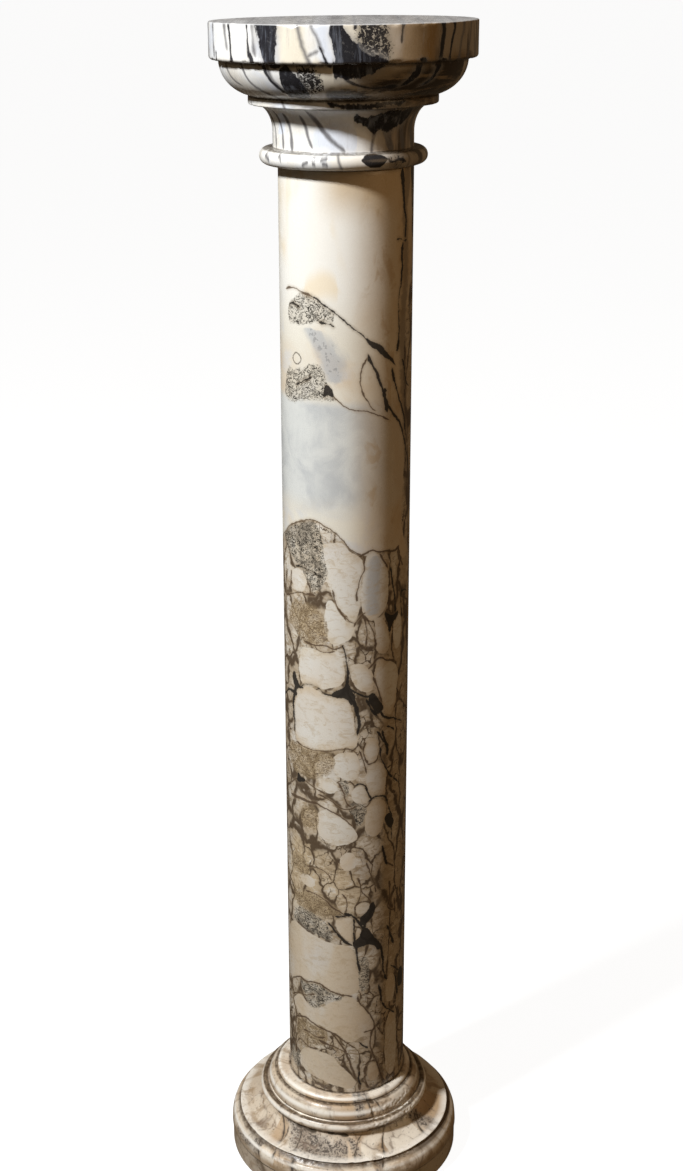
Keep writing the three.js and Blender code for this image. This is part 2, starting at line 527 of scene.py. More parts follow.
# grey patches full of dark grains, with ragged edges
base_grey = [
    ([7, 11, 15, 16, 13, 9, 6],
     [(-50, 64), (-41, 58), (-33, 52), (-24, 48), (-14, 46), (-6, 46), (2, 46)]),
    ([4, 5, 4], [(4, 52), (7, 47), (8.6, 42)]),
    ([12, 14, 12], [(55, 58), (59, 50), (63, 42)]),
    ([6, 9, 9, 6], [(-72, 24), (-62, 30), (-54, 34), (-48, 38)]),
    ([13, 14, 12], [(12, 89), (13, 80), (13, 70)]),
    ([7, 8, 9], [(-53, 38), (-49, 26), (-46, 12)]),
    ([5, 5, 6], [(-27, 38), (-25.6, 28), (-24, 12)]),
    ([5, 6, 4], [(10, 87), (16, 87), (22, 86)]),
    ([5, 6, 5], [(20, 61), (34, 61), (50, 61)]),
]
rag = stone.noise(150, 4, 0.7, bend=0.6, shift=(1, 3, 8))
grey = stone.ragged(stone.veins(base_grey), rag, 14, 7.5)
stone.lay(grey, -5, 3, 0.8, (0.31, 0.265, 0.215))
grains = stone.noise(460, 3, 0.62, bend=0.8, shift=(7, 2, 4))
thick = stone.calc("MULTIPLY_ADD", stone.spread(grey, -4 * mm, 4 * mm), 0.15, grains)
stone.paint(stone.spread(thick, 0.63, 0.68, 0, 0.9), (0.06, 0.045, 0.035))

# the seams of the stone and its dark veins
seam_share = stone.spread(stain, 0.4, 0.6, 0.1, 0.6)
stone.paint(stone.times(beside, stone.times(seam_share, 0.5)), (0.36, 0.28, 0.20))
stone.paint(stone.times(seam, seam_share), (0.16, 0.11, 0.08))
base_dark = [
    ([1.4, 2, 2.6, 2, 1.4, 0.6], [(-50, 71), (-49.5, 66), (-50, 61), (-48.5, 55), (-45, 50), (-40, 44)]),
    (1.0, [(-41, 50), (-39.6, 46), (-39, 41), (-38.6, 34)]),
    (1.2, [(-31, 52), (-29.6, 47), (-28, 42), (-26, 38)]),
    ([0.8, 1.3, 1.7, 1.6, 1.4], [(31, 58), (28, 51), (25.4, 46), (22, 41), (20, 36)]),
    (1.0, [(12, 54), (9.6, 50), (8, 46), (6, 42)]),
    (0.8, [(60, 52), (56, 47), (52, 42)]),
    ([1.6, 2.2, 2], [(19.6, 88), (21, 80), (23, 70)]),
    ([1.2, 1.6, 1.2], [(27, 83), (28.6, 78), (31, 73)]),
    (1.8, [(30, 66), (31.5, 62), (33, 59)]),
    (1.4, [(-12, 57), (-5, 56), (3, 55)]),
    (1.1, [(-36, 57), (-28, 55.5), (-20, 56)]),
    (1.5, [(13, 88), (19, 85), (25, 83)]),
    ([1.4, 1.8, 2], [(-50, 38), (-47, 26), (-44, 12)]),
    ([1.2, 1.6, 1.6], [(-27, 38), (-26, 26), (-25, 12)]),
    (1.2, [(17, 36), (16.6, 24), (16, 12)]),
]
in_dark = stone.veins(base_dark)
in_dark = stone.calc("SUBTRACT", in_dark, stone.spread(rag, 0.5, 0.75, 0, 1.2 * mm))
stone.lay(in_dark, -2.5, 0.5, 0.45, (0.20, 0.14, 0.09))
stone.lay(in_dark, -0.5, 0.6, 0.85, (0.05, 0.04, 0.03))

# painted shade under the rings, painted highlights along the edges that stand out, and painted shade with
# some dirt in the grooves
base_crests = ((collar_foot + 3.8, 2), (torus_foot + 7, 3.4), (bead_foot + 7, 3.2),
               (ledge_foot + 1.6, 1.5), (drum_height + 13, 2.6))
base_grooves = ((collar_foot, 1.3), (torus_foot - 0.4, 1.0), (bead_foot - 0.6, 1.8),
                (ledge_foot - 1, 3.2), (drum_height, 1.6))
base_undersides = ((torus_foot, 6), (bead_foot, 5.4), (drum_height + 2, 8))
# painted shade: darker brown on the underside of each ring, where it turns away from the light
for underside, reach in base_undersides:
    shade_under_ring = stone.times(stone.spread(stone.level, (underside + reach) * mm, (underside + 0.5) * mm),
                        stone.spread(stone.level, (underside - 1.2) * mm, underside * mm))
    stone.paint(stone.times(shade_under_ring, stone.spread(stain, 0.3, 0.6, 0.35, 0.75)), (0.34, 0.235, 0.135))
# painted highlights: paler along the crests of the collar, torus, bead, ledge and band
painted_crest_highlight = stone.any_of([stone.near_level(crest, reach, 0.3) for crest, reach in base_crests])
painted_crest_highlight = stone.times(painted_crest_highlight, stone.spread(stain, 0.66, 0.46, 0.25, 0.92))
stone.paint(painted_crest_highlight, (0.95, 0.90, 0.81))
# painted shade with some dirt: darker in the grooves and round the foot of the shaft, and a painted
# shadow under the ledge on the right
groove_shade_and_dirt = [stone.near_level(groove, reach, 0.2) for groove, reach in base_grooves]
off_shaft = {0: stone.place, 1: (-shaft_offset * mm, 0, -base_top * mm)}
off_shaft = {0: stone.node("VectorMath", off_shaft, operation="ADD").outputs[0]}
beside_shaft = stone.node("VectorMath", off_shaft, operation="LENGTH").outputs["Value"]
groove_shade_and_dirt.append(stone.spread(beside_shaft, (shaft_radius + 2.6) * mm, (shaft_radius + 0.4) * mm))
groove_shade_and_dirt = stone.times(stone.any_of(groove_shade_and_dirt), stone.spread(mottle, 0.3, 0.6, 0.4, 0.95))
shaded = stone.times(stone.near_level(ledge_foot - 1.6, 4, 1), stone.sideways(28, 46))
groove_shade_and_dirt = stone.calc("MAXIMUM", groove_shade_and_dirt, stone.times(shaded, 0.85))
stone.paint(groove_shade_and_dirt, (0.07, 0.045, 0.025))
low_brown = stone.spread(stone.level, (drum_height + 9) * mm, (drum_height - 2) * mm, 0, 0.45)
stone.paint(low_brown, (0.34, 0.25, 0.16))
stone.finish(rag, low=0.22, high=0.45, relief=0.25, matt=stone.spread(grey, -5 * mm, 2 * mm, 0, 0.75))
base.data.materials.append(stone.material)
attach(base, "root")
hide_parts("base")

# The shaft, a plain cylinder turned from the same stone, polished, and bedded in plaster on its
# base, three millimetres off the axis. Its marble is clear and pale above, and broken below an
# arched front into pale fragments between brown and black seams.
shaft_low, shaft_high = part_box("shaft")
shaft_foot = shaft_low.z / mm
shaft_head = shaft_high.z / mm
shaft_arris = 0.8
shaft_spacing = 4
shaft_steps = 240
shaft_profile = arc((shaft_radius - shaft_arris, shaft_foot + shaft_arris), shaft_arris, shaft_arris, -90,
                    0, 3)
shaft_profile += arc((shaft_radius - shaft_arris, shaft_head - shaft_arris), shaft_arris, shaft_arris, 0,
                     90, 3)
shaft = turned("shaft_block", divided(shaft_profile, shaft_spacing), shaft_steps, shaft_offset)

# its black and brown veins, each with its width and its route
stone = Marble("shaft marble", shaft_radius, shaft_offset, shake=5)
shaft_black = [
    ([3, 3.4, 3.2, 3, 2.6, 2], [(54, 983), (56, 965), (58, 950), (61, 942), (60, 932), (60, 927)]),
    ([1.6, 2.4, 2.6, 2.4, 1.4, 1.6, 1.4, 0.8],
     [(56, 923), (55, 912), (55, 900), (54, 890), (51, 880), (51, 860), (51, 845), (49, 830)]),
    (1.0, [(48, 926), (52, 926), (57, 924), (62, 924)]),
    ([5, 4, 3, 1], [(74, 984), (75, 965), (77, 945), (79, 925)]),
    ([0.5, 1.4, 1.6, 1.4, 1.0, 1.6, 1.4, 1.2, 1.0],
     [(-30, 881), (-25, 879), (-20, 875), (-14, 871), (-8, 867), (0, 860), (8, 853), (15, 848),
      (20, 844)]),
    ([1, 4, 5, 5, 4, 2.5, 1],
     [(17, 846), (22, 841), (27, 838), (32, 834), (37, 830), (42, 826), (46, 821)]),
    (0.9, [(-22, 860), (-16, 859), (-10, 857)]),
    ([0.8, 2, 1.6, 0.7], [(-57, 869), (-54, 872), (-48, 872), (-42, 870)]),
    (1.0, [(-48, 803), (-42, 806), (-36, 809), (-32, 811)]),
    ([1, 2, 2.4, 2.6, 2.6, 2.6, 2.4, 2.6, 2.4, 2.2, 2, 2, 2, 2, 2, 1],
     [(19, 832), (23, 822), (27, 815), (31, 805), (34, 796), (38, 786), (43, 780), (48, 774), (53, 768),
      (58, 760), (62, 750), (66, 740), (70, 731), (73, 716), (76, 700), (78, 680)]),
    ([1, 2.2, 2, 1.8, 2, 2.2, 2.4, 1.2],
     [(43, 818), (45, 808), (48, 800), (52, 790), (56, 783), (59, 776), (62, 768), (63, 760)]),
    (1.7, [(57, 822), (60, 815), (62, 808), (65, 801), (69, 798)]),
    (2.2, [(35, 801), (35, 794), (36, 787), (38, 780)]),
    (1.0, [(-51, 636), (-45, 637), (-38, 637), (-32, 636), (-28, 633)]),
    ([1, 2, 2, 1.6, 1], [(43, 637), (45, 628), (47, 616), (49, 603), (50, 592)]),
    (1.6, [(61, 612), (59, 602), (60, 592), (62, 585)]),
    (1.4, [(60, 608), (66, 609), (72, 606)]),
    ([0.5, 0.8, 1.6, 2.4, 3, 3.4], [(-4, 567), (-1, 560), (0, 550), (1.5, 540), (1, 530), (0, 522)]),
    ([1.5, 2.2, 2.4, 2.4, 3.4], [(-85, 498), (-76, 504), (-68, 510), (-60, 511), (-52, 511)]),
    ([3, 3.6, 3.6, 3, 2.2, 1.6, 0.8],
     [(-52, 522), (-54, 513), (-57, 505), (-58, 496), (-57, 488), (-56, 480), (-57, 472)]),
    ([1.6, 0.8, 0.8, 0.9, 1.1, 1.2, 1.8, 2.4],
     [(-46, 519), (-43, 523), (-38, 525), (-30, 525), (-25, 523), (-20, 519), (-14, 518), (-8, 518)]),
    ([3, 4, 4, 3.4, 2.6, 2, 0.8],
     [(2, 524), (5, 516), (8, 508), (10, 500), (12, 492), (11, 485), (10, 479)]),
    ([2, 2, 1.6, 1.6, 2], [(4, 525), (9, 521), (14, 518), (19, 516), (24, 517)]),
    ([1.4, 2, 2, 1], [(19, 513), (22, 506), (25, 500), (29, 495)]),
    ([3, 2.4, 2, 1.8, 1.2, 0.6], [(32, 501), (36, 494), (42, 490), (48, 488), (55, 484), (62, 480)]),
    ([1, 3, 3.6, 3, 0.8], [(35, 479), (37, 472), (39, 466), (41, 460), (41, 453)]),
    (1.6, [(30, 479), (34, 472), (37, 467)]),
    (1.8, [(41, 482), (45, 480), (49, 477)]),
    ([0.8, 1.2, 1.4, 1.4, 1.2], [(32, 462), (34, 453), (37, 445), (41, 437), (45, 430)]),
    ([1.4, 1.2, 1.2, 0.6], [(44, 431), (50, 426), (56, 420), (61, 415)]),
    ([1, 1.4, 1.2, 1], [(8, 428), (12, 429), (16, 427), (20, 422)]),
    (1.2, [(18, 425), (20, 419), (23, 412)]),
    ([1.2, 1.4, 1.4, 1.2, 1.2], [(21, 410), (26, 413), (32, 412.5), (37, 411), (41, 407)]),
    (1.4, [(40, 408), (42, 402), (45, 394), (48, 386)]),
    ([2, 1.6, 0.8], [(47, 380), (47.5, 372), (48, 364)]),
    ([1, 1.6, 1.6, 1], [(-11, 288), (-6, 288.5), (0, 290), (6, 290)]),
    ([0.8, 1.6, 2.4, 3, 2.6, 1], [(-18, 281), (-13, 275), (-8, 269), (-4, 264), (0, 260), (5, 257)]),
    (2.4, [(-2, 292), (3, 291), (8, 287), (12, 282), (16, 275)]),
    ([3, 3.4, 3.4, 2], [(17, 272), (18, 279), (20, 286), (24, 297)]),
    ([1, 1.4, 1.6, 2.4, 2.8, 2.6, 2.2, 1.6],
     [(7, 286), (7, 278), (7, 270), (8, 262), (9, 254), (10, 246), (11, 238), (13, 228)]),
    ([2.6, 3, 3.4, 3.2, 2.4, 1.8, 1.8, 0.8],
     [(27, 262), (31, 255), (35, 248), (37, 241), (38, 233), (38, 225), (40, 217), (42, 210)]),
    ([0.8, 3, 3.4, 1.2], [(36, 359), (38, 350), (40, 343), (42, 337)]),
    ([1, 1.4, 1], [(43, 270), (46, 262), (52, 246)]),
    ([1.2, 1.5, 1.5, 1], [(49, 223), (54, 218), (58, 214), (62, 210)]),
    ([1, 2, 1], [(55, 208), (58, 197), (60, 184)]),
    ([1, 2.4, 2, 1.6, 1.2, 0.6], [(33, 208), (35, 197), (37, 188), (42, 178), (49, 171), (54, 166)]),
    (1.4, [(13, 146), (17, 142), (21, 139)]),
    (1.4, [(14, 97), (12, 105), (13, 112)]),
]
shaft_brown = [
    ([0.5, 0.7, 0.7, 0.5], [(-62, 884), (-50, 886), (-42, 884), (-30, 881)]),
    ([0.8, 0.9, 0.9, 0.8, 0.8, 1, 0.8, 0.5],
     [(-10, 796), (-5, 791), (0, 787), (8, 784), (17, 783), (23, 781), (31, 777), (40, 773)]),
    ([0.8, 1, 0.9, 0.8, 0.8], [(18, 829), (14, 822), (12, 812), (13, 803), (16, 795)]),
    ([0.8, 0.8, 0.6, 0.5], [(16, 795), (19, 790), (22, 786), (25, 783)]),
    ([0.5, 0.8, 0.9, 0.9, 0.9, 0.9, 0.8, 0.9, 0.8, 0.9, 0.9, 0.9, 0.9],
     [(-84, 653), (-72, 663), (-60, 672), (-50, 677), (-40, 682), (-33, 684), (-28, 683), (-20, 680),
      (-10, 675), (-3, 667), (2, 661), (8, 656), (13, 653)]),
    ([1.4, 1.6, 1.6, 1.5, 1.6, 1.6, 1.4],
     [(12, 652), (18, 655), (23, 657), (30, 654), (40, 653), (48, 652), (54, 654)]),
    ([1.4, 1.6, 1.5, 1], [(53, 654), (56, 648), (58, 641), (61, 634)]),
    ([1, 1.6, 1.6, 1], [(31, 652), (34, 646), (37, 641), (39, 637)]),
    ([0.8, 1, 1, 0.9, 0.9, 0.8], [(15, 652), (16, 645), (16, 638), (12, 630), (10, 620), (9, 610)]),
    (0.9, [(-70, 603), (-60, 607), (-50, 611), (-40, 613), (-29, 613)]),
    (1.0, [(-68, 628), (-70, 614), (-72, 600), (-72, 585), (-70, 574)]),
    (1.0, [(-59, 630), (-59, 623), (-60, 615)]),
    ([0.8, 0.9, 0.9, 0.9, 0.8, 0.7], [(-12, 620), (-10, 612), (-7, 604), (-3, 597), (2, 592), (7, 589)]),
    (0.9, [(7, 586), (9, 591), (13, 595), (16, 598)]),
    ([0.6, 1.1, 1.1, 1, 1], [(-42, 567), (-30, 566), (-20, 566), (-10, 564), (-3, 567)]),
    (0.6, [(-30, 566), (-25, 561), (-18, 560), (-11, 562)]),
    (0.9, [(15, 597), (22, 586), (26, 575), (27, 563)]),
    (0.9, [(15, 596), (18, 586), (19, 575), (18, 566)]),
    ([1, 2, 2, 1.6, 1.6, 1], [(21, 544), (26, 549), (32, 552), (38, 549), (44, 547), (50, 545)]),
    (1.3, [(25, 535), (28, 527), (31, 518), (34, 508)]),
    ([0.8, 1, 1, 0.8], [(50, 498), (54, 504), (58, 510), (62, 518)]),
    ([0.8, 0.9, 0.8, 0.7, 0.7, 0.8, 0.9, 0.9, 0.6],
     [(-53, 462), (-45, 461), (-35, 460), (-25, 461), (-17, 461), (-12, 463), (-5, 464.5), (2, 465),
      (7, 463)]),
    ([0.7, 0.9, 1, 0.9, 0.8, 0.8, 0.6],
     [(-64, 416), (-58, 420), (-52, 424), (-45, 426), (-38, 424), (-30, 421), (-20, 418)]),
    ([1, 2.4, 2.8, 2.8, 2.4, 1.6, 1.3, 1.2, 1.1, 1, 0.6],
     [(-64, 403), (-55, 404), (-45, 405), (-36, 405), (-30, 406), (-25, 404), (-20, 402), (-12, 399),
      (-5, 395), (0, 391), (5, 386)]),
    ([0.6, 0.9, 1, 1, 1, 1], [(-27, 416), (-18, 413), (-10, 408), (-4, 404), (2, 403), (8, 406)]),
    (1.2, [(-7, 430), (-4, 424), (-2, 417), (0, 411), (4, 406)]),
    (1.0, [(17, 404), (20, 406), (23, 411)]),
    (0.9, [(18, 470), (16, 463), (17, 456), (20, 449)]),
    (0.9, [(20, 448), (24, 448), (28, 450), (31, 456)]),
    (1.0, [(12, 463), (15, 455), (17, 447), (18, 440)]),
    ([0.5, 0.8, 0.9, 0.8, 0.6], [(-40, 336), (-32, 338), (-25, 337), (-19, 334), (-14, 327)]),
    ([0.6, 0.9, 1, 1.2, 1.6, 1.6, 1.4, 1.4],
     [(-42, 309), (-35, 309), (-28, 308), (-22, 305), (-15, 300), (-8, 295), (-2, 291), (3, 291)]),
    (0.8, [(-2, 291), (0, 298), (0, 306), (-4, 313)]),
    (1.1, [(11, 330), (13, 322), (15, 314), (19, 309), (23, 303), (25, 296)]),
    (0.9, [(19, 345), (22, 336), (25, 328), (28, 320), (29, 312)]),
    (1.2, [(8, 301), (14, 304), (21, 303), (24, 299)]),
    (0.9, [(8, 300), (8, 294), (10, 289)]),
    ([1.2, 1.4, 1], [(41, 340), (46, 336), (51, 333)]),
    (1.3, [(45, 318), (46, 308), (46, 300), (43, 291)]),
    (1.2, [(43, 290), (48, 286), (54, 284)]),
    (1.2, [(53, 296), (54, 288), (54, 281)]),
    ([0.5, 1, 1.4, 1.5, 1.4, 1.4, 1.6, 1.4, 1.4, 1.3, 1.2, 0.6],
     [(-72, 192), (-66, 199), (-58, 205), (-50, 208), (-43, 207), (-36, 209), (-29, 210), (-22, 208),
      (-15, 205), (-8, 202), (0, 201), (6, 200)]),
    ([1, 1.2, 1.4, 1.6, 1.8, 1.4, 1.4, 1.2, 1],
     [(-70, 200), (-70, 190), (-67, 180), (-63, 170), (-60, 163), (-60, 152), (-62, 140), (-60, 128),
      (-62, 115)]),
    (1.0, [(-66, 181), (-60, 185), (-53, 189), (-46, 190), (-40, 193), (-33, 196)]),
    ([0.8, 1.2, 1.3, 1.4, 1.5, 1.5, 1.4],
     [(11, 200), (13, 192), (17, 186), (22, 178), (26, 170), (28, 163), (26, 156)]),
    ([1.4, 1.4, 1.4, 1.5, 1.5, 1.6, 1.8, 1.8],
     [(26, 158), (24, 150), (24, 141), (26, 133), (30, 122), (33, 111), (37, 100), (40, 91)]),
    (1.1, [(18, 157), (22, 157.5), (27, 157)]),
    ([1, 1.6, 2, 2, 1.6, 1.6, 1.6, 1.5, 1.6, 1.4, 1.2, 0.8],
     [(-59, 158), (-54, 161), (-50, 163), (-43, 165), (-36, 163), (-30, 161), (-22, 159), (-15, 157),
      (-8, 153), (-3, 149), (3, 144), (8, 141)]),
    ([1, 1.6, 1.8, 2, 2, 2, 2, 1.6],
     [(-16, 158), (-9, 149), (-3, 140), (1, 130), (4, 120), (8, 109), (12, 100), (13, 91)]),
    (1.1, [(-58, 129), (-52, 135), (-45, 134), (-38, 133), (-30, 134)]),
    (0.9, [(-48, 149), (-40, 150), (-32, 148), (-22, 150)]),
    (1.1, [(-28, 145), (-15, 142), (-5, 138), (1, 134)]),
    (1.2, [(19, 118), (18, 107), (20, 98), (22, 91)]),
    (1.2, [(19, 120), (24, 122), (30, 121)]),
    (1.1, [(20, 196), (24, 194), (29, 196)]),
    ([1, 1.3, 1.2, 0.8], [(59, 150), (62, 142), (68, 137), (75, 134)]),
    (0.9, [(32, 159), (36, 152), (38, 148)]),
    (0.9, [(38, 148), (39.5, 154), (40, 162)]),
]

# its black blots, speckled, rusty and clear patches, each with its lower and its upper edge
shaft_ink = [
    ([(37, 593), (40, 584), (43, 574), (46, 582), (54, 590)],
     [(37, 595), (42, 592), (48, 591), (54, 592)]),
    ([(-59, 524), (-55, 518), (-51, 516), (-47, 518), (-43, 519)],
     [(-59, 527), (-55, 532), (-51, 525), (-47, 521), (-43, 521)]),
    ([(-13, 518), (-8, 516), (-3, 516), (1, 514), (4, 509), (8, 515)],
     [(-13, 520), (-8, 524), (-3, 526), (1, 531), (5, 524), (8, 518)]),
    ([(21, 511), (24, 505), (28, 497), (32, 497), (36, 502)],
     [(21, 513), (24, 519), (28, 516), (32, 510), (36, 504)]),
    ([(39, 386), (43, 378), (47, 376), (51, 380)], [(39, 388), (43, 392), (47, 388), (51, 382)]),
    ([(-53, 422), (-51, 421), (-48, 423), (-42, 425)], [(-53, 424), (-51, 431), (-48, 428), (-42, 427)]),
    ([(6, 257), (9, 253), (13, 254), (17, 255), (20, 256), (24, 255), (28, 252), (33, 247)],
     [(6, 260), (9, 263), (12, 266), (16, 274), (20, 275), (24, 269), (28, 262), (33, 255)]),
    ([(13, 283), (17, 278), (21, 281), (25, 285), (28, 294)],
     [(13, 286), (17, 290), (21, 295), (25, 302), (28, 298)]),
    ([(60, 200), (65, 190), (73, 192)], [(60, 204), (65, 212), (73, 206)]),
    ([(-20, 796), (-15, 796), (-10, 796)], [(-20, 798), (-17, 806), (-10, 798)]),
]
shaft_grainy = [
    ([(-58, 857), (-50, 857), (-40, 857), (-30, 859), (-20, 860), (-11, 861)],
     [(-58, 870), (-52, 874), (-42, 882), (-30, 880), (-20, 874), (-9, 866)]),
    ([(-66, 791), (-60, 788), (-50, 788), (-40, 791), (-30, 793), (-20, 793), (-9, 794)],
     [(-66, 797), (-60, 815), (-50, 816), (-40, 818), (-30, 823), (-22, 821), (-15, 805), (-9, 796)]),
    ([(-72, 660), (-62, 648), (-52, 641), (-44, 637), (-36, 625), (-28, 618), (-20, 626), (-17, 634)],
     [(-72, 663), (-60, 671), (-50, 676), (-40, 681), (-33, 683), (-27, 680), (-22, 664), (-17, 637)]),
    ([(2, 404), (7, 396), (11, 385), (16, 392), (19, 402)],
     [(2, 407), (7, 410), (11, 409), (16, 407), (19, 404)]),
    ([(-62, 269), (-52, 270), (-45, 267), (-35, 265), (-25, 263), (-14, 262)],
     [(-62, 273), (-52, 287), (-42, 287), (-30, 285), (-22, 281), (-14, 268)]),
    ([(-50, 200), (-43, 188), (-38, 181), (-30, 182), (-24, 188), (-15, 195), (-5, 197)],
     [(-50, 206), (-42, 206), (-34, 208), (-28, 209), (-20, 206), (-12, 203), (-4, 200)]),
    ([(12, 212), (16, 204), (22, 212)], [(12, 238), (16, 243), (22, 238)]),
    ([(-71, 103), (-62, 100), (-53, 104)], [(-71, 116), (-62, 121), (-53, 117)]),
    ([(-6, 420), (-3, 415), (2, 420)], [(-6, 432), (-2, 434), (2, 428)]),
]
shaft_rusty = [
    ([(-62, 582), (-50, 573), (-40, 567), (-28, 566), (-18, 568)],
     [(-62, 590), (-52, 604), (-42, 603), (-30, 600), (-18, 590)]),
    ([(-66, 442), (-55, 432), (-40, 430), (-25, 434), (-12, 447)],
     [(-66, 455), (-55, 460), (-40, 460), (-25, 460), (-12, 455)]),
    ([(-48, 384), (-38, 376), (-27, 384)], [(-48, 392), (-38, 400), (-27, 394)]),
    ([(-60, 296), (-45, 287), (-30, 286), (-15, 289), (-6, 292)],
     [(-60, 303), (-45, 306), (-30, 306), (-18, 301), (-6, 294)]),
    ([(-61, 328), (-50, 324), (-38, 330)], [(-61, 338), (-50, 344), (-38, 338)]),
    ([(-57, 132), (-40, 134), (-20, 146)], [(-57, 156), (-40, 161), (-20, 157)]),
]
shaft_clear = [
    ([(-58, 620), (-52, 614), (-42, 614), (-38, 622)], [(-58, 628), (-52, 634), (-45, 635), (-38, 628)]),
    ([(-22, 640), (-15, 622), (-8, 607), (0, 596), (8, 592), (14, 632)],
     [(-22, 662), (-15, 664), (-5, 665), (5, 656), (10, 653), (15, 645)]),
    ([(14, 600), (22, 590), (32, 594), (40, 605)], [(14, 628), (20, 654), (28, 653), (40, 632)]),
    ([(-19, 578), (-12, 568), (-4, 569), (4, 575), (8, 584)],
     [(-19, 600), (-14, 611), (-8, 603), (0, 591), (8, 587)]),
    ([(28, 560), (35, 555), (42, 560)], [(22, 590), (30, 592), (38, 585), (42, 570)]),
    ([(-46, 526), (-35, 527), (-22, 523), (-10, 527), (-2, 533)],
     [(-46, 556), (-35, 562), (-20, 560), (-10, 562), (-4, 556)]),
    ([(-53, 464), (-40, 461), (-20, 462), (-5, 466), (9, 468)],
     [(-53, 512), (-46, 519), (-35, 523), (-22, 519), (-8, 516), (0, 514), (5, 504), (9, 485)]),
    ([(3, 541), (8, 528), (14, 522), (22, 521), (26, 530)],
     [(3, 546), (8, 550), (14, 549), (20, 545), (26, 534)]),
    ([(28, 522), (34, 508), (44, 493), (50, 500), (54, 520)],
     [(26, 540), (32, 550), (40, 548), (48, 545), (54, 535)]),
    ([(17, 460), (20, 449), (26, 449), (31, 458)], [(17, 466), (21, 474), (27, 473), (31, 464)]),
    ([(18, 430), (25, 413), (38, 412), (40, 430)], [(18, 440), (22, 446), (34, 447), (40, 434)]),
    ([(5, 415), (10, 409), (17, 408), (20, 412)], [(5, 422), (10, 427), (15, 426), (20, 416)]),
    ([(-27, 376), (-15, 366), (0, 366), (10, 372)],
     [(-27, 396), (-20, 401), (-8, 397), (0, 390), (6, 384), (10, 378)]),
    ([(18, 380), (28, 372), (40, 392)], [(18, 398), (24, 410), (32, 410), (40, 402)]),
    ([(-12, 442), (0, 434), (8, 434), (12, 442)], [(-12, 456), (0, 462), (8, 460), (12, 452)]),
    ([(-6, 344), (2, 338), (9, 344)], [(-6, 352), (2, 358), (9, 352)]),
    ([(-49, 318), (-40, 314), (-31, 318)], [(-49, 322), (-40, 327), (-31, 322)]),
    ([(-10, 278), (-3, 266), (5, 262), (6, 270)], [(-10, 285), (-3, 287), (3, 288), (6, 284)]),
    ([(9, 294), (14, 291), (22, 296)], [(9, 300), (14, 303), (22, 301)]),
    ([(9, 266), (11, 262), (14, 268)], [(9, 271), (11, 276), (14, 273)]),
    ([(-72, 196), (-58, 206), (-45, 209), (-30, 211), (-15, 206), (0, 202), (11, 205)],
     [(-72, 258), (-60, 267), (-45, 265), (-30, 262), (-12, 258), (2, 256), (7, 250), (11, 235)]),
    ([(-62, 172), (-50, 164), (-35, 164), (-20, 160), (-8, 155), (4, 147), (14, 152), (27, 160)],
     [(-62, 180), (-50, 188), (-40, 182), (-28, 183), (-12, 194), (2, 200), (14, 190), (27, 168)]),
    ([(-54, 108), (-42, 103), (-25, 99), (-10, 96), (8, 95)],
     [(-54, 118), (-45, 130), (-32, 132), (-15, 130), (-4, 118), (8, 104)]),
    ([(21, 108), (27, 98), (34, 104)], [(21, 116), (27, 120), (33, 112)]),
    ([(42, 110), (50, 96), (58, 110)], [(42, 160), (50, 170), (58, 150)]),
    ([(42, 190), (48, 182), (55, 190)], [(42, 208), (48, 214), (55, 205)]),
    ([(48, 565), (54, 556), (60, 566)], [(48, 585), (54, 590), (60, 583)]),
    ([(-24, 424), (-15, 419), (-8, 424)], [(-24, 430), (-15, 434), (-8, 429)]),
]

# the ground, cool in a band above the broken stone and pale towards the top
stone.ground((0.76, 0.72, 0.62), (0.68, 0.57, 0.43), (0.66, 0.66, 0.65))
cool_band = stone.times(stone.spread(stone.level, 0.68, 0.71), stone.spread(stone.level, 0.795, 0.785))
mist = stone.noise(34, 4, 0.6, (1, 1, 0.8), bend=0.5, shift=(1, 8, 3))
cool = stone.mix(stone.spread(mist, 0.35, 0.7), (0.67, 0.68, 0.65), (0.51, 0.525, 0.525))
stone.paint(cool_band, cool)
amber_cloud = stone.noise(22, 3, 0.55, (1, 1, 0.5), bend=0.4, shift=(6, 1, 9))
top_colour = stone.mix(stone.spread(amber_cloud, 0.5, 0.75), (0.84, 0.82, 0.76), (0.80, 0.66, 0.45))
stone.paint(stone.spread(stone.level, 0.835, 0.90), top_colour)

# the arched front of the broken stone, as angle and height in mm
shaft_arch = ((-180, 700), (-130, 640), (-85, 652), (-60, 672), (-33, 684), (-10, 675), (2, 661),
              (13, 653), (30, 654), (52, 653), (64, 640), (80, 670), (100, 760), (125, 800), (150, 730),
              (180, 700))
arch_front = stone.curve(stone.run, [(stone.run_of(angle), height * mm) for angle, height in shaft_arch])
below_arch = stone.calc("SUBTRACT", arch_front, stone.height)
right_side = stone.vein([20, 26, 30, 34, 30, 26],
                        [(92, 990), (90, 930), (84, 880), (76, 830), (78, 760), (90, 640)])
back_side = stone.vein([26, 40, 44, 36, 26, 24],
                       [(138, 990), (142, 930), (146, 880), (150, 830), (142, 760), (150, 660)])
broken_zone = stone.any_of([below_arch, right_side, back_side])
in_broken = stone.spread(broken_zone, -0.4 * mm, 1.2 * mm)
clear = stone.patches(shaft_clear)
in_clear = stone.spread(clear, -0.5 * mm, 0.7 * mm)
in_broken = stone.times(in_broken, stone.calc("SUBTRACT", 1.0, in_clear))

# warmer low down and on the right, with smudges, and a bluish patch full of dark spots
stone.paint(stone.spread(stone.level, 0.66, 0.2, 0, 0.6), (0.56, 0.44, 0.30))
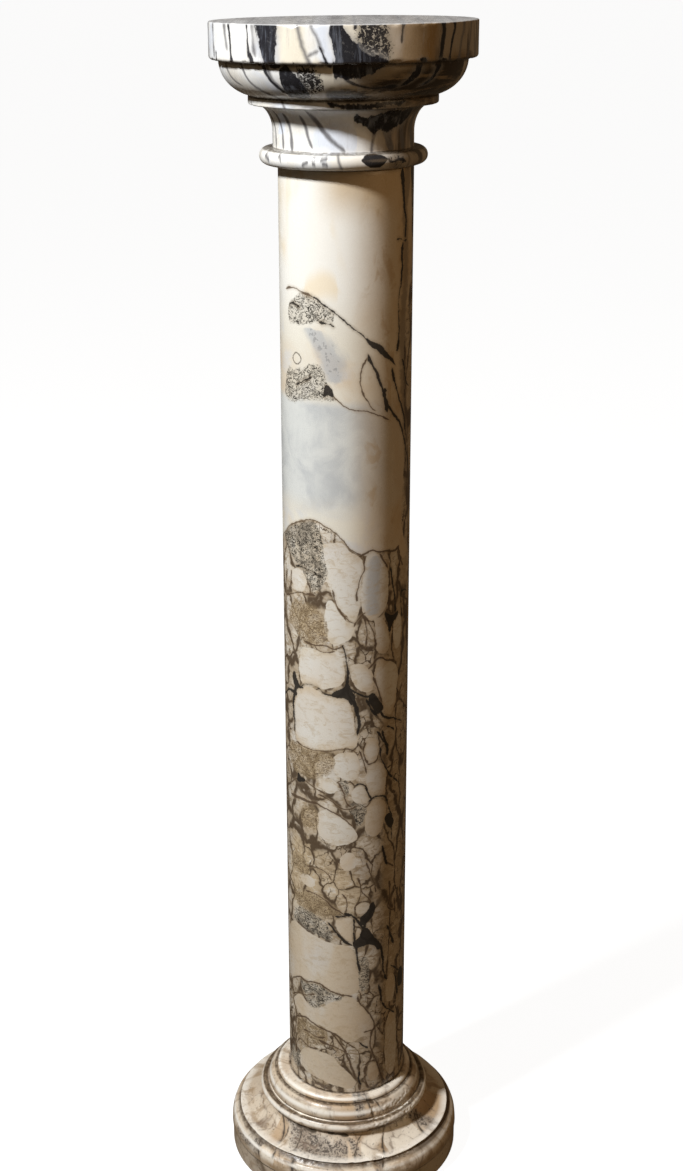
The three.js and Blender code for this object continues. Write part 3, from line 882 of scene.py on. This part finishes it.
# amber on the right, partly an amber stain and partly painted shade warmed by light thrown back from the
# right
amber_and_warm_shade = stone.times(stone.sideways(-4, 34), stone.spread(amber_cloud, 0.3, 0.7, 0.5, 0.8))
amber_and_warm_shade = stone.times(amber_and_warm_shade, stone.spread(stone.level, 0.18, 0.42, 0.5, 1))
stone.paint(stone.times(amber_and_warm_shade, stone.front), (0.49, 0.365, 0.225))
smudge = stone.noise(60, 4, 0.62, (1, 1, 0.6), bend=0.6, shift=(2, 9, 4))
smudge = stone.times(stone.spread(smudge, 0.53, 0.66, 0, 0.5), stone.sideways(6, 26))
stone.paint(stone.times(smudge, stone.front), (0.42, 0.28, 0.14))
amber_spot = stone.vein([8, 16, 18, 10], [(-36, 886), (-28, 889), (-18, 892), (-8, 888)])
stone.lay(amber_spot, -9, 6, 0.55, (0.80, 0.64, 0.40))
# browner at the top towards the right, partly a stain and partly painted shade under the capital
top_stain_and_shade = stone.times(stone.spread(stone.level, 0.935, 0.975), stone.sideways(-34, 0, 0, 0.8))
stone.paint(stone.times(top_stain_and_shade, stone.front), (0.56, 0.42, 0.25))
rag = stone.noise(150, 5, 0.7, bend=0.6, shift=(3, 3, 8))
bluish = stone.vein([10, 14, 15, 12, 6], [(-30, 852), (-24, 845), (-17, 834), (-12, 822), (-9, 810)])
bluish = stone.ragged(bluish, mist, 30, 15)
stone.lay(bluish, -8, 4, 0.75, (0.45, 0.47, 0.485))
spots = stone.noise(230, 2, 0.6, shift=(6, 2, 3))
spots = stone.times(stone.spread(spots, 0.58, 0.64), stone.spread(bluish, -3 * mm, 4 * mm, 0, 0.5))
stone.paint(spots, (0.22, 0.22, 0.22))

# the broken stone, in taller fragments on the right, with the clear ones left whole
seam, beside, cell = stone.broken(52, (1, 1, 0.62), wander=16, thin=0.03, thick=0.19)
tall_seam, tall_beside, tall_cell = stone.broken(56, (1, 1, 0.26), wander=12, thin=0.04, thick=0.18)
on_right = stone.times(stone.sideways(26, 44), stone.front)
seam = stone.calc("ADD", stone.times(seam, stone.calc("SUBTRACT", 1.0, on_right)),
                  stone.times(tall_seam, on_right))
beside = stone.calc("MAXIMUM", beside, stone.times(tall_beside, on_right))
crack, _, chip = stone.broken(125, (1, 1, 0.7), wander=9, thin=0.02, thick=0.1)
chance = stone.noise(30, 2, 0.5, shift=(9, 9, 1))
crack = stone.times(crack, stone.spread(chance, 0.48, 0.62))
fragment = stone.mix(stone.spread(cell, 0.2, 0.8), (0.55, 0.46, 0.35), (0.74, 0.68, 0.58))
fragment = stone.mix(stone.spread(chip, 0.6, 0.9, 0, 0.5), fragment, (0.58, 0.57, 0.55))
stone.paint(stone.times(in_broken, 0.75), fragment)
stone.paint(stone.times(in_broken, stone.times(on_right, stone.spread(tall_cell, 0.3, 0.8, 0.1, 0.6))),
            (0.50, 0.40, 0.28))
clear_tint = stone.mix(stone.spread(amber_cloud, 0.4, 0.58), (0.72, 0.70, 0.65), (0.64, 0.53, 0.39))
stone.paint(stone.times(in_clear, 0.45), clear_tint)
core = stone.times(stone.spread(clear, 1 * mm, 12 * mm, 0, 0.6), stone.spread(stone.level, 0.34, 0.44))
stone.paint(core, (0.74, 0.72, 0.67))
golden = stone.vein([56, 74, 70, 50, 30], [(-66, 318), (-48, 326), (-26, 322), (-6, 318), (12, 312)])
stone.paint(stone.times(in_broken, stone.spread(golden, -12 * mm, 6 * mm, 0, 0.5)), (0.58, 0.43, 0.23))
slate = stone.vein([6, 12, 12, 8], [(27, 650), (25, 632), (24, 612), (24, 596)])
slate = stone.times(stone.spread(slate, -4 * mm, 3 * mm, 0, 0.75), in_clear)
stone.paint(slate, (0.44, 0.45, 0.46))
fibre = stone.noise(95, 6, 0.72, (1, 1, 1.9), bend=1.1, shift=(4, 4, 2))
stone.paint(stone.times(in_broken, stone.spread(fibre, 0.48, 0.6, 0, 0.8)), (0.30, 0.215, 0.125))
stone.paint(stone.times(in_broken, stone.spread(fibre, 0.44, 0.36, 0, 0.7)), (0.78, 0.74, 0.66))
stone.paint(stone.times(in_clear, stone.spread(fibre, 0.48, 0.64, 0, 0.5)), (0.50, 0.39, 0.25))
seams = stone.times(stone.calc("MAXIMUM", seam, crack), in_broken)
stone.paint(stone.times(beside, stone.times(in_broken, 0.55)), (0.40, 0.31, 0.20))
stone.paint(stone.times(seams, 0.95), (0.09, 0.06, 0.036))

# the rusty and the speckled patches
rust = stone.speckle(280, (1, 1, 2.2), low=0.012, high=0.06)
rusty = stone.ragged(stone.patches(shaft_rusty), rag, 14, 6)
in_rusty = stone.spread(rusty, -3 * mm, 3 * mm)
stone.paint(stone.times(in_rusty, 0.55), (0.55, 0.42, 0.25))
stone.paint(stone.times(rust, stone.times(in_rusty, 0.9)), (0.09, 0.055, 0.03))
ink = stone.speckle(170, (1, 1, 1.4), low=0.018, high=0.055)
grainy = stone.ragged(stone.patches(shaft_grainy), rag, 8, 4)
in_grainy = stone.spread(grainy, -2 * mm, 1.6 * mm)
stone.paint(stone.times(in_grainy, 0.5), (0.52, 0.47, 0.38))
ink_share = stone.times(in_grainy, stone.spread(rag, 0.35, 0.6, 0.7, 1))
stone.paint(stone.times(ink, ink_share), (0.024, 0.02, 0.016))

# a small brown ring on the left, then the brown veins and the black ones
ring_angle = -47
ring_height = 826
ring_radius = 4.6
across = stone.calc("SUBTRACT", stone.run, stone.run_of(ring_angle))
above = stone.calc("SUBTRACT", stone.height, ring_height * mm)
ring_gap = stone.calc("SQRT", stone.calc("ADD", stone.times(across, across), stone.times(above, above)))
ring_edge = stone.calc("ABSOLUTE", stone.calc("SUBTRACT", ring_gap, ring_radius * mm))
stone.lay(ring_edge, 1, 0.2, 0.8, (0.12, 0.1, 0.08))
brown = stone.veins(shaft_brown)
stone.lay(brown, -3, 0.6, 0.38, (0.40, 0.30, 0.19))
stone.lay(brown, -0.45, 0.4, 0.9, (0.10, 0.065, 0.04))
black = stone.calc("MAXIMUM", stone.veins(shaft_black), stone.patches(shaft_ink))
black = stone.ragged(black, rag, 4, 2)
limb = stone.vein([5, 6, 8, 9, 8, 6, 4],
                  [(63, 985), (60, 950), (61, 900), (57, 850), (60, 800), (66, 740), (72, 690)])
limb = stone.ragged(limb, rag, 12, 6)
stone.lay(limb, -4, 2, 0.62, (0.12, 0.09, 0.065))
stone.lay(black, -3.4, 0.6, 0.45, (0.26, 0.20, 0.13))
stone.lay(black, -0.35, 0.45, 0.95, (0.025, 0.022, 0.02))
stone.finish(rag, low=0.18, high=0.36, relief=0.08)
shaft.data.materials.append(stone.material)
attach(shaft, "root")
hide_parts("shaft")

# The capital, the top block, turned from one piece of the same stone: an astragal, a hollow neck,
# an annulet, an echinus and a round slab, ground and polished. It is bedded in plaster on the
# shaft and set about a millimetre off the axis of the base.
capital_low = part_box("capital")[0]
capital_foot = capital_low.z / mm
capital_offset = 0.9
neck_radius = shaft_radius + 1.9
seat_step = 0.9
astragal_height = 13.7
astragal_projection = 11.7
neck_height = 35.2
flare_height = 22.6
flare_reach = 15.2
annulet_height = 7.1
annulet_projection = 20.2
annulet_ease = 1.6
echinus_height = 29.1
echinus_projection = 44.2
echinus_tuck = 1.2
echinus_belly = 9.8
slab_height = 29.7
slab_projection = 52
slab_top_ease = 1.2
slab_under_ease = 2.5
slab_inner_rings = (3, 6)
capital_spacing = 1.5
capital_steps = 360
astragal_foot = capital_foot + seat_step
neck_foot = astragal_foot + astragal_height
annulet_foot = neck_foot + neck_height
echinus_foot = annulet_foot + annulet_height
slab_foot = echinus_foot + echinus_height
slab_top = slab_foot + slab_height
annulet_radius = neck_radius + annulet_projection
echinus_radius = neck_radius + echinus_projection
slab_radius = neck_radius + slab_projection
astragal_core = neck_radius + astragal_projection - astragal_height / 2
capital_profile = [(neck_radius, capital_foot), (neck_radius, astragal_foot)]
capital_profile += arc((astragal_core, astragal_foot + astragal_height / 2), astragal_height / 2,
                       astragal_height / 2, -90, 90, 24)
capital_profile += [(neck_radius, neck_foot)]
capital_profile += arc((neck_radius + flare_reach, annulet_foot - flare_height), -flare_reach,
                       flare_height, 0, 90, 20)
capital_profile += arc((annulet_radius - annulet_ease, annulet_foot + annulet_ease), annulet_ease,
                       annulet_ease, -90, 0, 5)
capital_profile += [(annulet_radius, echinus_foot)]
swell_radius = annulet_radius - echinus_belly
swell_reach = echinus_radius - swell_radius
swell_angle = math.acos((echinus_belly - echinus_tuck) / swell_reach)
swell_rise = echinus_height / math.sin(swell_angle)
capital_profile += arc((swell_radius, slab_foot), swell_reach, swell_rise, -math.degrees(swell_angle), 0,
                       24)
capital_profile += arc((slab_radius - slab_under_ease, slab_foot + slab_under_ease), slab_under_ease,
                       slab_under_ease, -90, 0, 6)
capital_profile += arc((slab_radius - slab_top_ease, slab_top - slab_top_ease), slab_top_ease,
                       slab_top_ease, 0, 90, 5)
capital_profile += [(slab_radius - inset, slab_top) for inset in slab_inner_rings]
capital = turned("capital_block", divided(capital_profile, capital_spacing), capital_steps,
                 capital_offset)
arrises = ((slab_top - 0.4, 1.2), (slab_foot + 1, 1.8), (annulet_foot + 1, 1.2), (echinus_foot - 0.4, 1))


def capital_wear(place):
    # small nicks along the arrises and a slight unevenness everywhere but on the flat top
    unevenness = 0.2
    nick_share = 0.22
    nick_depth = 3
    height = place.z / mm
    if height > slab_top - 0.05:
        return 0.0
    depth = unevenness * max(0.0, noise.noise(place * 50))
    for level, reach in arrises:
        near = max(0.0, 1 - ((height - level) / reach) ** 2)
        depth += near * max(0.0, noise.noise(place * 150) - nick_share) * nick_depth
    return depth


worn(capital, capital_wear)

# Its marble. On the slab a place is read by how far right it lies, as the turn it would have on
# the rim, so that the veins cross the top face straight from front to back.
stone = Marble("capital marble", slab_radius, capital_offset, shake=4)
across = stone.calc("SUBTRACT", stone.x, capital_offset * mm)
level_run = stone.calc("ARCSINE", stone.calc("DIVIDE", across, slab_radius * mm))
level_run = stone.calc("MULTIPLY_ADD", level_run, slab_radius * mm, stone.shake_run)
in_slab = stone.calc("GREATER_THAN", stone.level, (slab_foot + 0.2) * mm)
below_slab = stone.calc("SUBTRACT", 1.0, in_slab)
stone.run = stone.calc("ADD", stone.times(level_run, in_slab), stone.times(stone.run, below_slab))
top_face = stone.spread(stone.level, (slab_top - 1) * mm, (slab_top - 0.1) * mm)

# its solid black bands and blots, broad ones first
capital_blots = [
    stone.vein([19, 18, 17, 14, 12, 12],
               [(-33, 1103), (-32.6, 1094), (-32, 1088), (-31.6, 1080), (-31.2, 1074), (-31, 1068)]),
    stone.patch([(-4.8, 1088), (-3.4, 1076), (-2.4, 1068), (4, 1066), (10, 1066), (18, 1068)],
                [(-4.8, 1103), (-2, 1104), (1, 1095), (4, 1088), (9, 1079), (18, 1073)]),
    stone.patch([(-29, 1045), (-26, 1044), (-22, 1043), (-17, 1045)],
                [(-29, 1066), (-26, 1069), (-22, 1064), (-17, 1049)]),
    stone.patch([(-4, 1061), (0, 1059), (5, 1059), (10, 1061), (14, 1064)],
                [(-4, 1072), (0, 1073), (5, 1073), (10, 1073), (14, 1072)]),
    stone.vein([6, 7, 6, 4], [(34, 1073), (35, 1066), (33, 1060), (29, 1054)]),
    stone.vein([5, 6, 4, 3], [(45, 1073), (46, 1065), (44, 1058), (40, 1053)]),
    stone.vein([1.4, 3, 5, 5, 4, 2],
               [(-9, 1040), (-2, 1037.6), (8, 1036), (18, 1037), (28, 1039), (38, 1040)]),
    stone.patch([(8, 1025), (15, 1020), (20, 1017), (24, 1013), (30, 1016), (38, 1014.6), (46, 1018),
                 (58, 1025)],
                [(8, 1029), (15, 1027), (20, 1028), (24, 1029), (30, 1031), (38, 1032), (46, 1032),
                 (58, 1031)]),
]
pentagon_foot = [(12, 993.6), (15, 990.6), (18, 988.2), (25, 988.4), (28, 991), (30.4, 994.4)]
pentagon_head = [(12, 994.6), (14, 997), (17, 998.4), (24, 998.2), (28, 996.8), (30.4, 995)]
capital_pentagon = stone.patch(pentagon_foot, pentagon_head, "VECTOR")

# its black and grey veins, each with its width and its route
capital_black = [
    ([1.6, 2.4, 2.4, 2.2, 2], [(-54.5, 1103), (-54, 1094), (-53.5, 1086), (-53, 1078), (-52.4, 1069)]),
    ([0.8, 1.2, 1.8, 4, 4.6, 2.4],
     [(-42.8, 1103), (-42.4, 1094), (-42.2, 1086), (-41.6, 1080), (-40.6, 1075), (-39.5, 1069)]),
    ([0.6, 1.2, 2.0, 2.6], [(-9.4, 1084), (-8.2, 1079), (-7, 1074), (-5.8, 1069)]),
    ([2.6, 2.2, 1.6], [(4.6, 1103), (4.6, 1099), (4.4, 1096.5)]),
    ([9, 7, 3], [(26, 1103), (26, 1101.6), (25.6, 1100.4)]),
    ([2.4, 2, 1.4, 0.8], [(24.6, 1101), (24.2, 1097), (24, 1092), (23.8, 1086)]),
    ([1, 2, 1.4], [(33.5, 1103), (33.6, 1101), (33.6, 1099)]),
    ([3.4, 4, 4.4, 3.6, 3], [(44, 1103), (45, 1094), (44, 1086), (43.4, 1078), (43, 1069)]),
    ([2.4, 2.8, 2.4, 2, 1.6], [(51, 1103), (51.6, 1094), (50, 1086), (49, 1078), (48, 1069)]),
    ([1.2, 1.6, 2], [(-66.6, 1078), (-66.4, 1074), (-66, 1069)]),
    ([2.2, 2.6, 2.4, 2.4], [(-37.6, 1070), (-36, 1062), (-33, 1054), (-27.6, 1046)]),
    ([2.6, 2, 1.4, 1, 0.8], [(-1, 1064), (3, 1057), (8, 1053.6), (16, 1052), (26, 1053)]),
    ([1.2, 1.6, 1.8, 1], [(30, 994.6), (35, 992), (40, 993.4), (46, 991)]),
]
capital_grey = [
    (1.4, [(-80, 1102), (-80, 1086), (-79, 1069)]),
    (1.0, [(-70, 1102), (-70, 1088), (-69, 1074)]),
    ([2.6, 2.4, 1.6, 0.8], [(-58, 1103), (-57.6, 1094), (-57, 1088), (-56, 1080)]),
    ([0.8, 1, 0.8], [(-39.5, 1103), (-39.4, 1092), (-38, 1076)]),
    ([1.4, 2, 2, 1.8, 2, 2.2],
     [(-18.8, 1103), (-18, 1094), (-17, 1088), (-16, 1082), (-14.6, 1076), (-12.8, 1069)]),
    ([0.8, 1.2, 1.4, 1.4, 1], [(-13.2, 1103), (-12, 1096), (-10.8, 1091), (-9.6, 1086), (-8.2, 1080)]),
    (1.2, [(-14.4, 1076), (-12.5, 1078.5), (-10.4, 1080.5)]),
    (1.8, [(59, 1103), (58.6, 1094), (57, 1086), (56, 1078), (55, 1069)]),
    (1.8, [(66, 1103), (66, 1094), (65, 1086), (64, 1078), (63, 1069)]),
    (2.2, [(74, 1103), (74, 1090), (73, 1078), (72, 1069)]),
    ([2.4, 2.2, 2, 1.6, 0.8], [(-51.6, 1070), (-50, 1062), (-48, 1055), (-44, 1049), (-38, 1044)]),
    ([1.6, 1.6, 1], [(-66, 1069), (-64, 1060), (-58, 1052)]),
    ([1.4, 2, 2, 1.4], [(-35.4, 1068), (-33.4, 1058), (-29.6, 1050), (-24, 1044)]),
    ([1.6, 1.6, 1.2], [(-38, 1041), (-37, 1037.6), (-36, 1034)]),
    ([3, 4.2, 3.2, 2], [(-33, 1027), (-30.4, 1019), (-28.4, 1011), (-25.6, 1003)]),
    ([2, 4.4, 4.8, 4.2, 3.4, 2.6, 1.4],
     [(-26, 1031), (-22, 1026), (-18, 1020), (-14, 1014), (-9, 1009), (-4, 1005), (1, 1001)]),
    ([3.4, 4, 3.4], [(-49, 1028), (-46, 1014), (-45, 1000)]),
    ([2.4, 3, 2.4], [(-60, 1030), (-57, 1014), (-56, 1000)]),
    ([2, 3, 2], [(-74, 1030), (-70, 1014), (-69, 1000)]),
    ([5, 4.4, 3.6, 2.4], [(25, 1016), (24, 1010), (23, 1004), (22.4, 998)]),
    ([9, 11, 8], [(35, 1018), (38, 1009), (41, 1000)]),
    ([7, 8, 6], [(50, 1030), (53, 1014), (55, 1000)]),
    ([9, 8, 7], [(68, 1030), (69, 1014), (71, 1000)]),
    ([1.4, 2.2, 2, 1.4], [(-3.6, 998), (-3, 994), (-2, 990), (-1, 986)]),
    (2.2, [(-28, 990), (-26, 991.6), (-24, 992.4)]),
    (2, [(-21, 995), (-20, 995.4), (-19, 995)]),
    (2, [(-20.6, 991.6), (-19.6, 991), (-18.8, 990.4)]),
    (2.2, [(-15, 994.6), (-13, 995), (-11, 995.4)]),
    (2.2, [(-13.6, 991.4), (-12, 991), (-10.6, 990)]),
    (1.8, [(-49, 996), (-47, 994.4), (-46, 992)]),
    (2.4, [(-66, 995), (-63, 993), (-60, 991)]),
]

# the ground, white on the left, then cream, then browner round to the right
stone.ground((0.83, 0.83, 0.81), (0.78, 0.74, 0.66), (0.70, 0.73, 0.79))
seam, _, cell = stone.broken(20, (1, 1, 0.4), wander=30, thin=0.015, thick=0.07)
far_side = stone.spread(stone.calc("ABSOLUTE", stone.turn), math.radians(72), math.radians(100))
stone.paint(stone.times(stone.spread(cell, 0.62, 0.8), far_side), (0.40, 0.34, 0.27))
streaks = stone.noise(150, 5, 0.7, (1, 1, 0.11), bend=0.25, shift=(4, 1, 1))
broad_streaks = stone.noise(52, 5, 0.62, (1, 1, 0.13), bend=0.4, shift=(2, 6, 1))
capital_cream = [
    (20, [(-22.5, 1104), (-21, 1086), (-19, 1068)]),
    (12, [(2, 1104), (5, 1094), (10, 1086)]),
    ([14, 18, 20], [(-12, 1066), (-2, 1056), (6, 1046)]),
]
stone.lay(stone.veins(capital_cream), -4, 3, 0.75, (0.76, 0.69, 0.54))
cool_spots = [
    (7, [(-9.4, 1104), (-8, 1086), (-5.6, 1070)]),
    ([10, 16, 20, 14], [(-24, 1008), (-14, 1011), (-2, 1013), (10, 1009)]),
    (12, [(-60, 1012), (-56, 1020), (-52, 1028)]),
]
stone.lay(stone.veins(cool_spots), -4, 3, 0.8, (0.70, 0.75, 0.84))
# browner from 22 to 52 degrees right, partly the stone's tint and partly painted shade on the side turned
# from the light
right_tint_and_shade = stone.spread(stone.calc("MULTIPLY_ADD", broad_streaks, 0.05, stone.run), stone.run_of(22),
                    stone.run_of(52), 0, 0.9)
stone.paint(stone.times(right_tint_and_shade, stone.front), (0.27, 0.215, 0.155))
tan = stone.vein(13, [(19.5, 1104), (19, 1086), (18, 1069)])
stone.lay(tan, -4, 4, 0.8, (0.46, 0.38, 0.28))
honey = stone.vein([30, 33, 28], [(32.5, 1104), (32, 1086), (31, 1068)])
honey_share = stone.times(stone.spread(honey, -6 * mm, 5 * mm),
                          stone.spread(broad_streaks, 0.3, 0.55, 0.95, 0.7))
stone.paint(honey_share, (0.27, 0.16, 0.05))
under_honey = stone.vein([12, 16, 20, 26], [(6, 1066), (18, 1060), (34, 1056), (60, 1060)])
stone.lay(under_honey, -8, 4, 0.85, (0.22, 0.16, 0.085))
# darker on the right of the neck, partly the stone's tint and partly painted shade under the annulet
neck_tint_and_shade = stone.vein([8, 18, 26], [(34, 1012), (54, 1012), (84, 1012)])
stone.lay(neck_tint_and_shade, -6, 5, 0.7, (0.36, 0.30, 0.24))
# painted light: paler towards the far right of the capital, on its shaded side
stone.paint(stone.times(stone.sideways(62, 80, 0, 0.6), stone.front), (0.62, 0.59, 0.54))

# fine grey streaks everywhere, coarse black ones on the right
streaked = stone.times(stone.spread(broad_streaks, 0.46, 0.57), stone.sideways(28, 50))
streaked = stone.times(streaked, stone.front)
stone.paint(stone.times(streaked, 0.85), (0.055, 0.042, 0.032))
stone.paint(stone.times(stone.spread(streaks, 0.55, 0.72), 0.4), (0.36, 0.34, 0.33))
stone.paint(stone.times(seam, far_side), (0.05, 0.045, 0.04))

# speckled patches, densest in their middles
capital_grainy = [
    stone.vein([22, 28, 31, 26], [(11.5, 1102), (12, 1092), (12, 1080), (11.6, 1068)]),
    stone.patch([(-20, 1047), (-14, 1046), (-9, 1049)], [(-22, 1070), (-14, 1069), (-9, 1058)]),
    stone.vein([4, 8, 8], [(31, 994), (36, 993.6), (44, 993)]),
]
grains = stone.noise(430, 3, 0.62, bend=0.8, shift=(7, 2, 4))
inner = stone.any_of(capital_grainy)
thick = stone.calc("MULTIPLY_ADD", stone.spread(inner, -2 * mm, 7 * mm), 0.2, grains)
clouded = stone.times(stone.spread(inner, -3 * mm, 4 * mm), stone.spread(in_slab, 0, 1, 0.35, 0.8))
stone.paint(clouded, (0.30, 0.26, 0.20))
stone.paint(stone.times(stone.spread(thick, 0.61, 0.66), stone.spread(inner, -3 * mm, 0)),
            (0.03, 0.028, 0.028))

# long brown and black brush strokes that run round the foot of the echinus on the right
strokes = stone.noise(70, 5, 0.7, (0.25, 0.25, 1.6), bend=0.3, shift=(1, 7, 2))
swept = stone.vein([2, 11, 21, 27, 27], [(-8, 1047), (5, 1046), (20, 1048), (40, 1052), (70, 1056)])
swept = stone.spread(swept, -6 * mm, 3 * mm)
# a brown wash under the strokes, partly a stain and partly painted shade on the lower echinus
stone.paint(stone.times(swept, 0.5), (0.2, 0.14, 0.08))
stroked = stone.times(swept, stone.spread(strokes, 0.42, 0.53, 0, 0.95))
stone.paint(stroked, (0.03, 0.022, 0.016))

# the veins and the blots themselves, with ragged edges and pale wisps in the black
thin = stone.veins(capital_grey)
thin = stone.calc("SUBTRACT", thin, stone.spread(streaks, 0.5, 0.8, 0, 1.2 * mm))
stone.lay(thin, -2.6, 1.5, 0.88, (0.13, 0.125, 0.13))
dark = stone.veins(capital_black)
dark = stone.calc("SUBTRACT", dark, stone.spread(streaks, 0.52, 0.75, 0, 1.5 * mm))
stone.lay(dark, -2, 0.4, 0.4, (0.2, 0.19, 0.19))
stone.lay(dark, -0.6, 0.5, 0.96, (0.02, 0.02, 0.024))
rag = stone.noise(240, 4, 0.7, (1, 1, 0.5), bend=0.6, shift=(3, 3, 8))
blot = stone.ragged(stone.any_of(capital_blots), rag, 8, 4.2)
wisps = stone.mix(stone.spread(streaks, 0.5, 0.66, 0, 0.75), (0.010, 0.010, 0.014), (0.15, 0.165, 0.20))
wisps = stone.mix(stone.spread(grains, 0.6, 0.72, 0, 0.4), wisps, (0.24, 0.23, 0.22))
stone.lay(blot, -7, 0.6, 0.5, (0.27, 0.26, 0.25))
stone.lay(blot, -0.5, 0.6, 0.98, wisps)
stone.lay(capital_pentagon, -0.5, 0.3, 0.98, (0.014, 0.013, 0.015))

# painted shade with some dirt in the hollows, and the top face, painted a pale grey that stands for the
# sheen of its polish, with its veins faint under it
capital_grooves = ((slab_foot, 3.2), (echinus_foot, 1.6), (annulet_foot, 1.2), (neck_foot, 1.6),
                   (astragal_foot, 1.6))
# painted shade with some dirt: darker in the hollows, deepest in the shadow under the slab
hollows = [stone.near_level(groove - 0.3, reach, 0.2) for groove, reach in capital_grooves]
hollow_shade_and_dirt = stone.times(stone.any_of(hollows), stone.spread(rag, 0.3, 0.6, 0.35, 0.85))
stone.paint(hollow_shade_and_dirt, (0.06, 0.042, 0.026))
combed = stone.noise(60, 6, 0.7, (1, 0.12, 1), bend=0.2, shift=(5, 5, 1))
# painted reflection: a pale grey laid over the top face for the sheen of its polish
top_sheen_grey = stone.mix(stone.spread(combed, 0.42, 0.66), (0.70, 0.70, 0.70), (0.46, 0.46, 0.47))
stone.paint(stone.times(top_face, 0.82), top_sheen_grey)
stone.finish(rag, low=0.16, high=0.34, relief=0.12)
capital.data.materials.append(stone.material)
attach(capital, "root")
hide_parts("capital")
